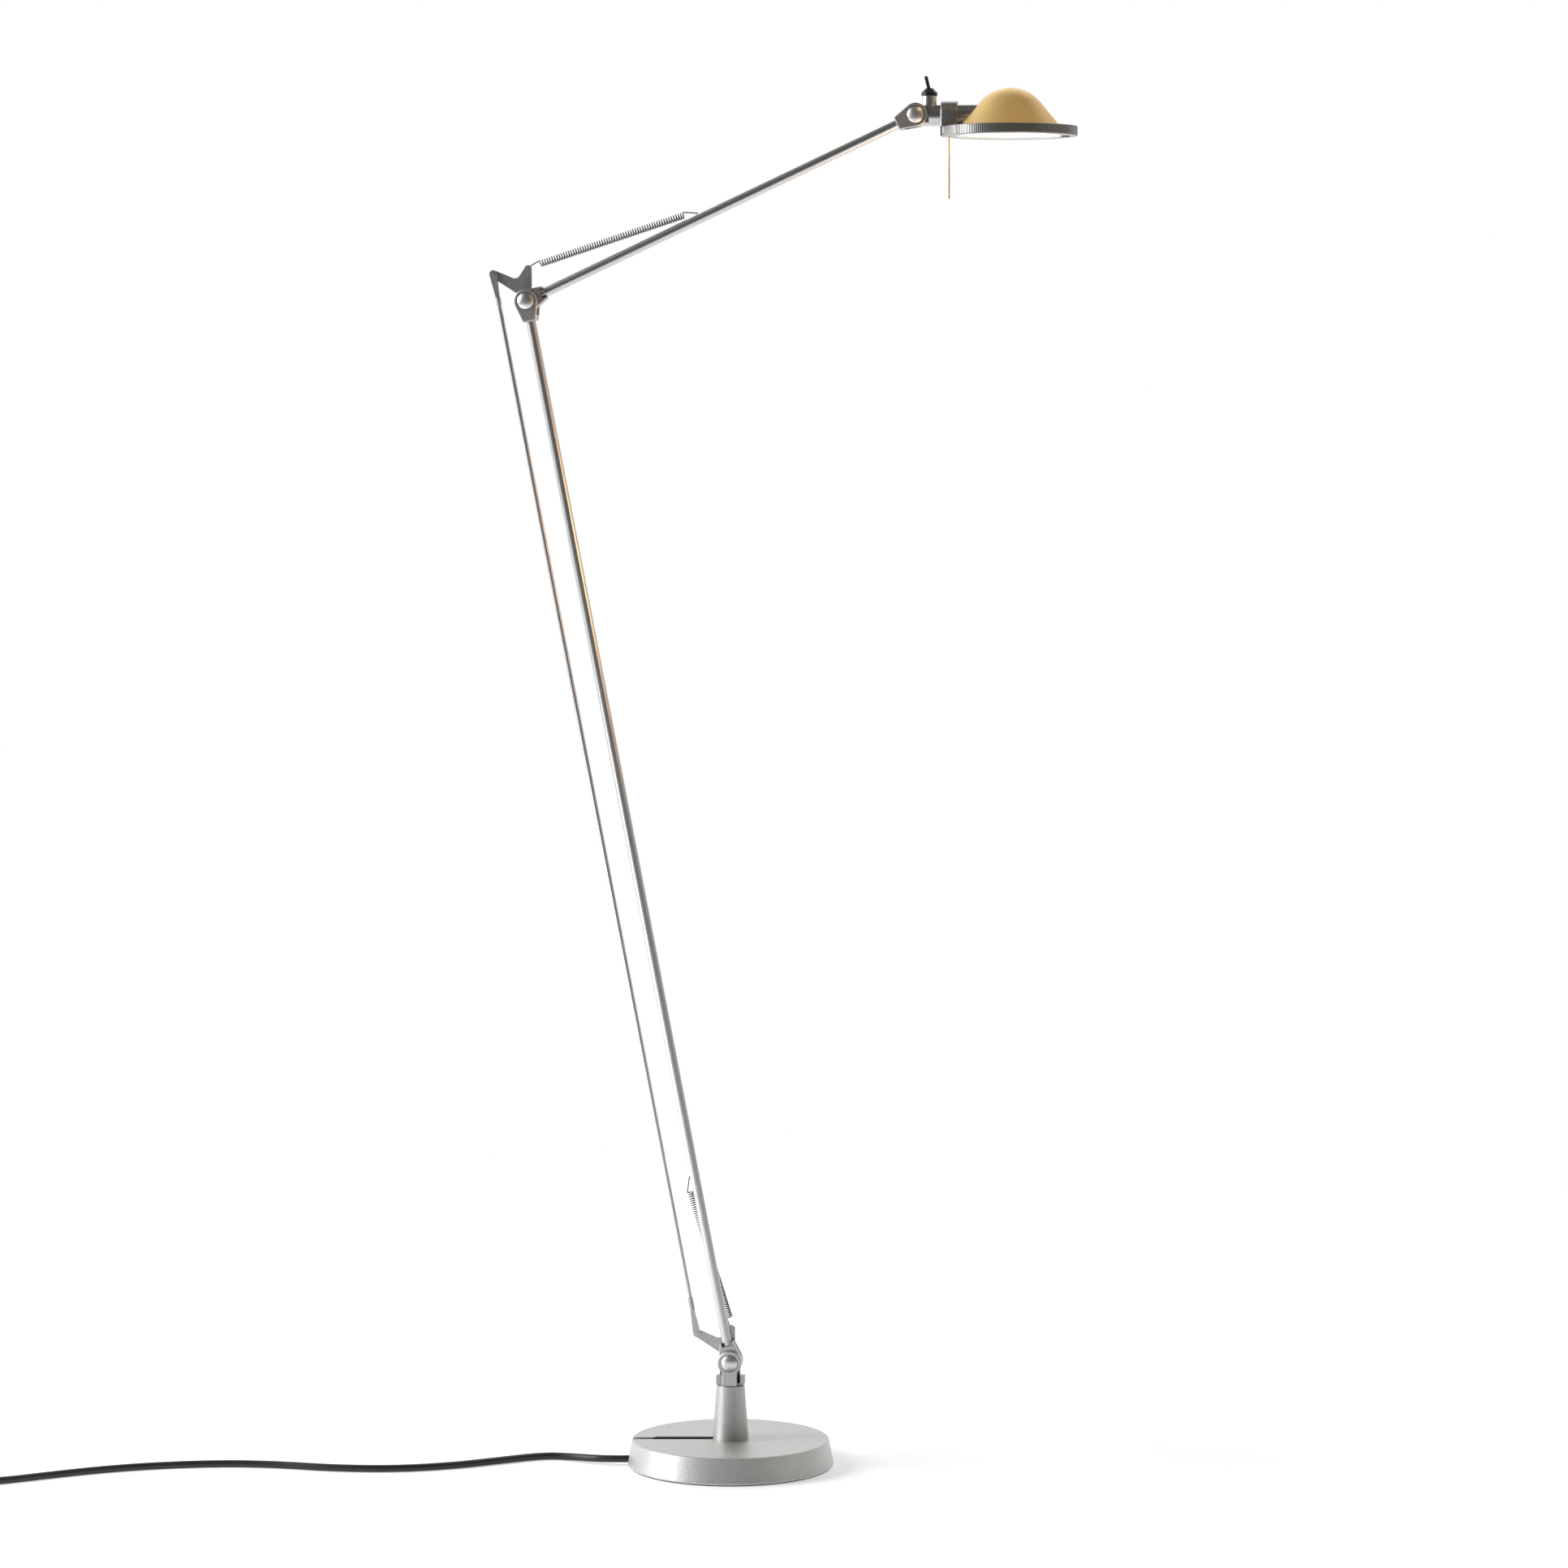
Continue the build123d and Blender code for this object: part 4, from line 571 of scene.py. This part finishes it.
def knurled_rim():
    """The rim ring with its ribs: the CAD ring cut back to the ribs' roots, and the ribs."""
    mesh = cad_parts["rim_ring"].data.copy()
    made = bmesh.new()
    made.from_mesh(mesh)
    bmesh.ops.remove_doubles(made, verts=made.verts, dist=WELD)
    made.to_mesh(mesh)
    rim = bpy.data.objects.new("knurled_rim", mesh)
    bpy.context.scene.collection.objects.link(rim)
    cutter = band_cutter()
    cut = rim.modifiers.new("band", "BOOLEAN")
    cut.operation = "DIFFERENCE"
    cut.solver = "EXACT"
    cut.object = cutter
    rim.data = bpy.data.meshes.new_from_object(rim.evaluated_get(bpy.context.evaluated_depsgraph_get()))
    rim.modifiers.clear()
    bpy.data.objects.remove(cutter)
    made.clear()
    made.from_mesh(rim.data)
    add_ribs(made)
    bmesh.ops.recalc_face_normals(made, faces=made.faces)
    for face in made.faces:
        beside_glass = (face.calc_center_median() - RIM_CENTRE).xy.length < UNDERSIDE_R
        face.material_index = 1 if beside_glass or face.normal.z < DOWNWARD else 0
    rim.data.materials.clear()
    # The rim's outer faces take the darker head coat, whose darkness is painted shade.
    rim.data.materials.append(head_coat_painted_shade)
    rim.data.materials.append(rim_underside)
    made.to_mesh(rim.data)
    made.free()
    rim.data.shade_smooth()
    rim.data.set_sharp_from_angle(angle=SHARP_EDGE)
    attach(rim, "reflector_head")
    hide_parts("rim_ring")


knurled_rim()


# ---------------------------------------------------------------- stage and light
FLOOR_R = 1.7
FLOOR_NEAR_R = 0.35          # the glow is even up to here
FLOOR_FAR_R = 1.2            # and full from here on
FLOOR_NEAR_GLOW = 0.41
FLOOR_FAR_GLOW = 0.70
ROOM_GLOW = (0.07, 0.07, 0.07)
WALLS = [                    # direction, inner and outer angle in degrees, colour
    ((0, 1, 0.1), 35, 75, (0.84, 0.84, 0.84)),       # back
    ((-1, 0.1, 0.3), 15, 50, (0.9, 0.9, 0.9)),       # left
    ((1, -0.1, 0.2), 15, 45, (0.32, 0.30, 0.27)),    # right
]


def floor():
    """Pale floor round the lamp; it glows more and more outwards, so that its edge is lost in the white."""
    made = bmesh.new()
    bmesh.ops.create_circle(made, cap_ends=True, radius=FLOOR_R, segments=96)
    mesh = bpy.data.meshes.new("floor")
    made.to_mesh(mesh)
    made.free()
    material = bpy.data.materials.new("floor_white")
    material.use_nodes = True
    nodes, links = material.node_tree.nodes, material.node_tree.links
    shader = nodes["Principled BSDF"]
    shader.inputs["Base Color"].default_value = (0.82, 0.82, 0.82, 1)
    shader.inputs["Roughness"].default_value = 0.9
    shader.inputs["Specular IOR Level"].default_value = 0.1
    shader.inputs["Emission Color"].default_value = (0.955, 0.98, 1.0, 1)
    distance = nodes.new("ShaderNodeVectorMath")
    distance.operation = "LENGTH"
    links.new(nodes.new("ShaderNodeTexCoord").outputs["Object"], distance.inputs[0])
    glow = nodes.new("ShaderNodeMapRange")
    glow.interpolation_type = "SMOOTHSTEP"
    glow.inputs["From Min"].default_value = FLOOR_NEAR_R
    glow.inputs["From Max"].default_value = FLOOR_FAR_R
    glow.inputs["To Min"].default_value = FLOOR_NEAR_GLOW
    glow.inputs["To Max"].default_value = FLOOR_FAR_GLOW
    links.new(distance.outputs["Value"], glow.inputs["Value"])
    links.new(glow.outputs["Result"], shader.inputs["Emission Strength"])
    mesh.materials.append(material)
    piece = bpy.data.objects.new("floor", mesh)
    bpy.context.scene.collection.objects.link(piece)


def softbox(name, place, target, size, power, colour=(1, 1, 1)):
    """Rectangular soft light that the camera doesn't see; power in watts."""
    light = bpy.data.lights.new(name, "AREA")
    light.shape = "RECTANGLE"
    light.size, light.size_y = size
    light.energy = power
    light.color = colour
    lamp = bpy.data.objects.new(name, light)
    bpy.context.scene.collection.objects.link(lamp)
    lamp.location = place
    lamp.rotation_euler = (Vector(target) - Vector(place)).to_track_quat("-Z", "Y").to_euler()
    lamp.visible_camera = False


def studio_world():
    """White for the camera; for light and reflections a dim room with bright patches as walls."""
    world = bpy.data.worlds.new("studio")
    bpy.context.scene.world = world
    world.use_nodes = True
    nodes, links = world.node_tree.nodes, world.node_tree.links
    nodes.clear()
    way = nodes.new("ShaderNodeTexCoord").outputs["Generated"]

    def patch(centre, inner, outer, colour):
        """Soft-edged patch of light; inner and outer are angles from its centre."""
        dot = nodes.new("ShaderNodeVectorMath")
        dot.operation = "DOT_PRODUCT"
        dot.inputs[1].default_value = Vector(centre).normalized()
        links.new(way, dot.inputs[0])
        edge = nodes.new("ShaderNodeMapRange")
        edge.interpolation_type = "SMOOTHSTEP"
        edge.inputs["From Min"].default_value = cos(radians(outer))
        edge.inputs["From Max"].default_value = cos(radians(inner))
        links.new(dot.outputs["Value"], edge.inputs["Value"])
        glow = nodes.new("ShaderNodeVectorMath")
        glow.operation = "SCALE"
        glow.inputs[0].default_value = colour
        links.new(edge.outputs["Result"], glow.inputs["Scale"])
        return glow.outputs["Vector"]

    room = None
    for wall in WALLS:
        added = nodes.new("ShaderNodeVectorMath")
        added.operation = "ADD"
        if room is None:
            added.inputs[0].default_value = ROOM_GLOW
        else:
            links.new(room, added.inputs[0])
        links.new(patch(*wall), added.inputs[1])
        room = added.outputs["Vector"]
    studio = nodes.new("ShaderNodeBackground")
    links.new(room, studio.inputs["Color"])
    white = nodes.new("ShaderNodeBackground")
    white.inputs["Color"].default_value = (1, 1, 1, 1)
    seen = nodes.new("ShaderNodeLightPath")
    choice = nodes.new("ShaderNodeMixShader")
    output = nodes.new("ShaderNodeOutputWorld")
    links.new(seen.outputs["Is Camera Ray"], choice.inputs["Fac"])
    links.new(studio.outputs["Background"], choice.inputs[1])
    links.new(white.outputs["Background"], choice.inputs[2])
    links.new(choice.outputs["Shader"], output.inputs["Surface"])


floor()
studio_world()
softbox("key_left", (-1.9, -0.4, 1.5), (0, 0, 0.4), (0.8, 1.2), 32)
softbox("top_back", (0.3, 1.6, 2.4), (0, 0.4, 0), (2.0, 1.0), 12)
softbox("low_left", (-1.0, -0.35, 0.2), (0, 0, 0.03), (0.5, 0.25), 2.5)
softbox("lamp_glow", (0.30, -0.12, 0.82), (-0.15, 0, 0.88), (0.16, 0.16), 0.6, (1.0, 0.50, 0.20))
softbox("dome_fill", (0.42, -0.25, 1.50), GLASS, (0.2, 0.2), 0.52, (1.0, 0.74, 0.40))
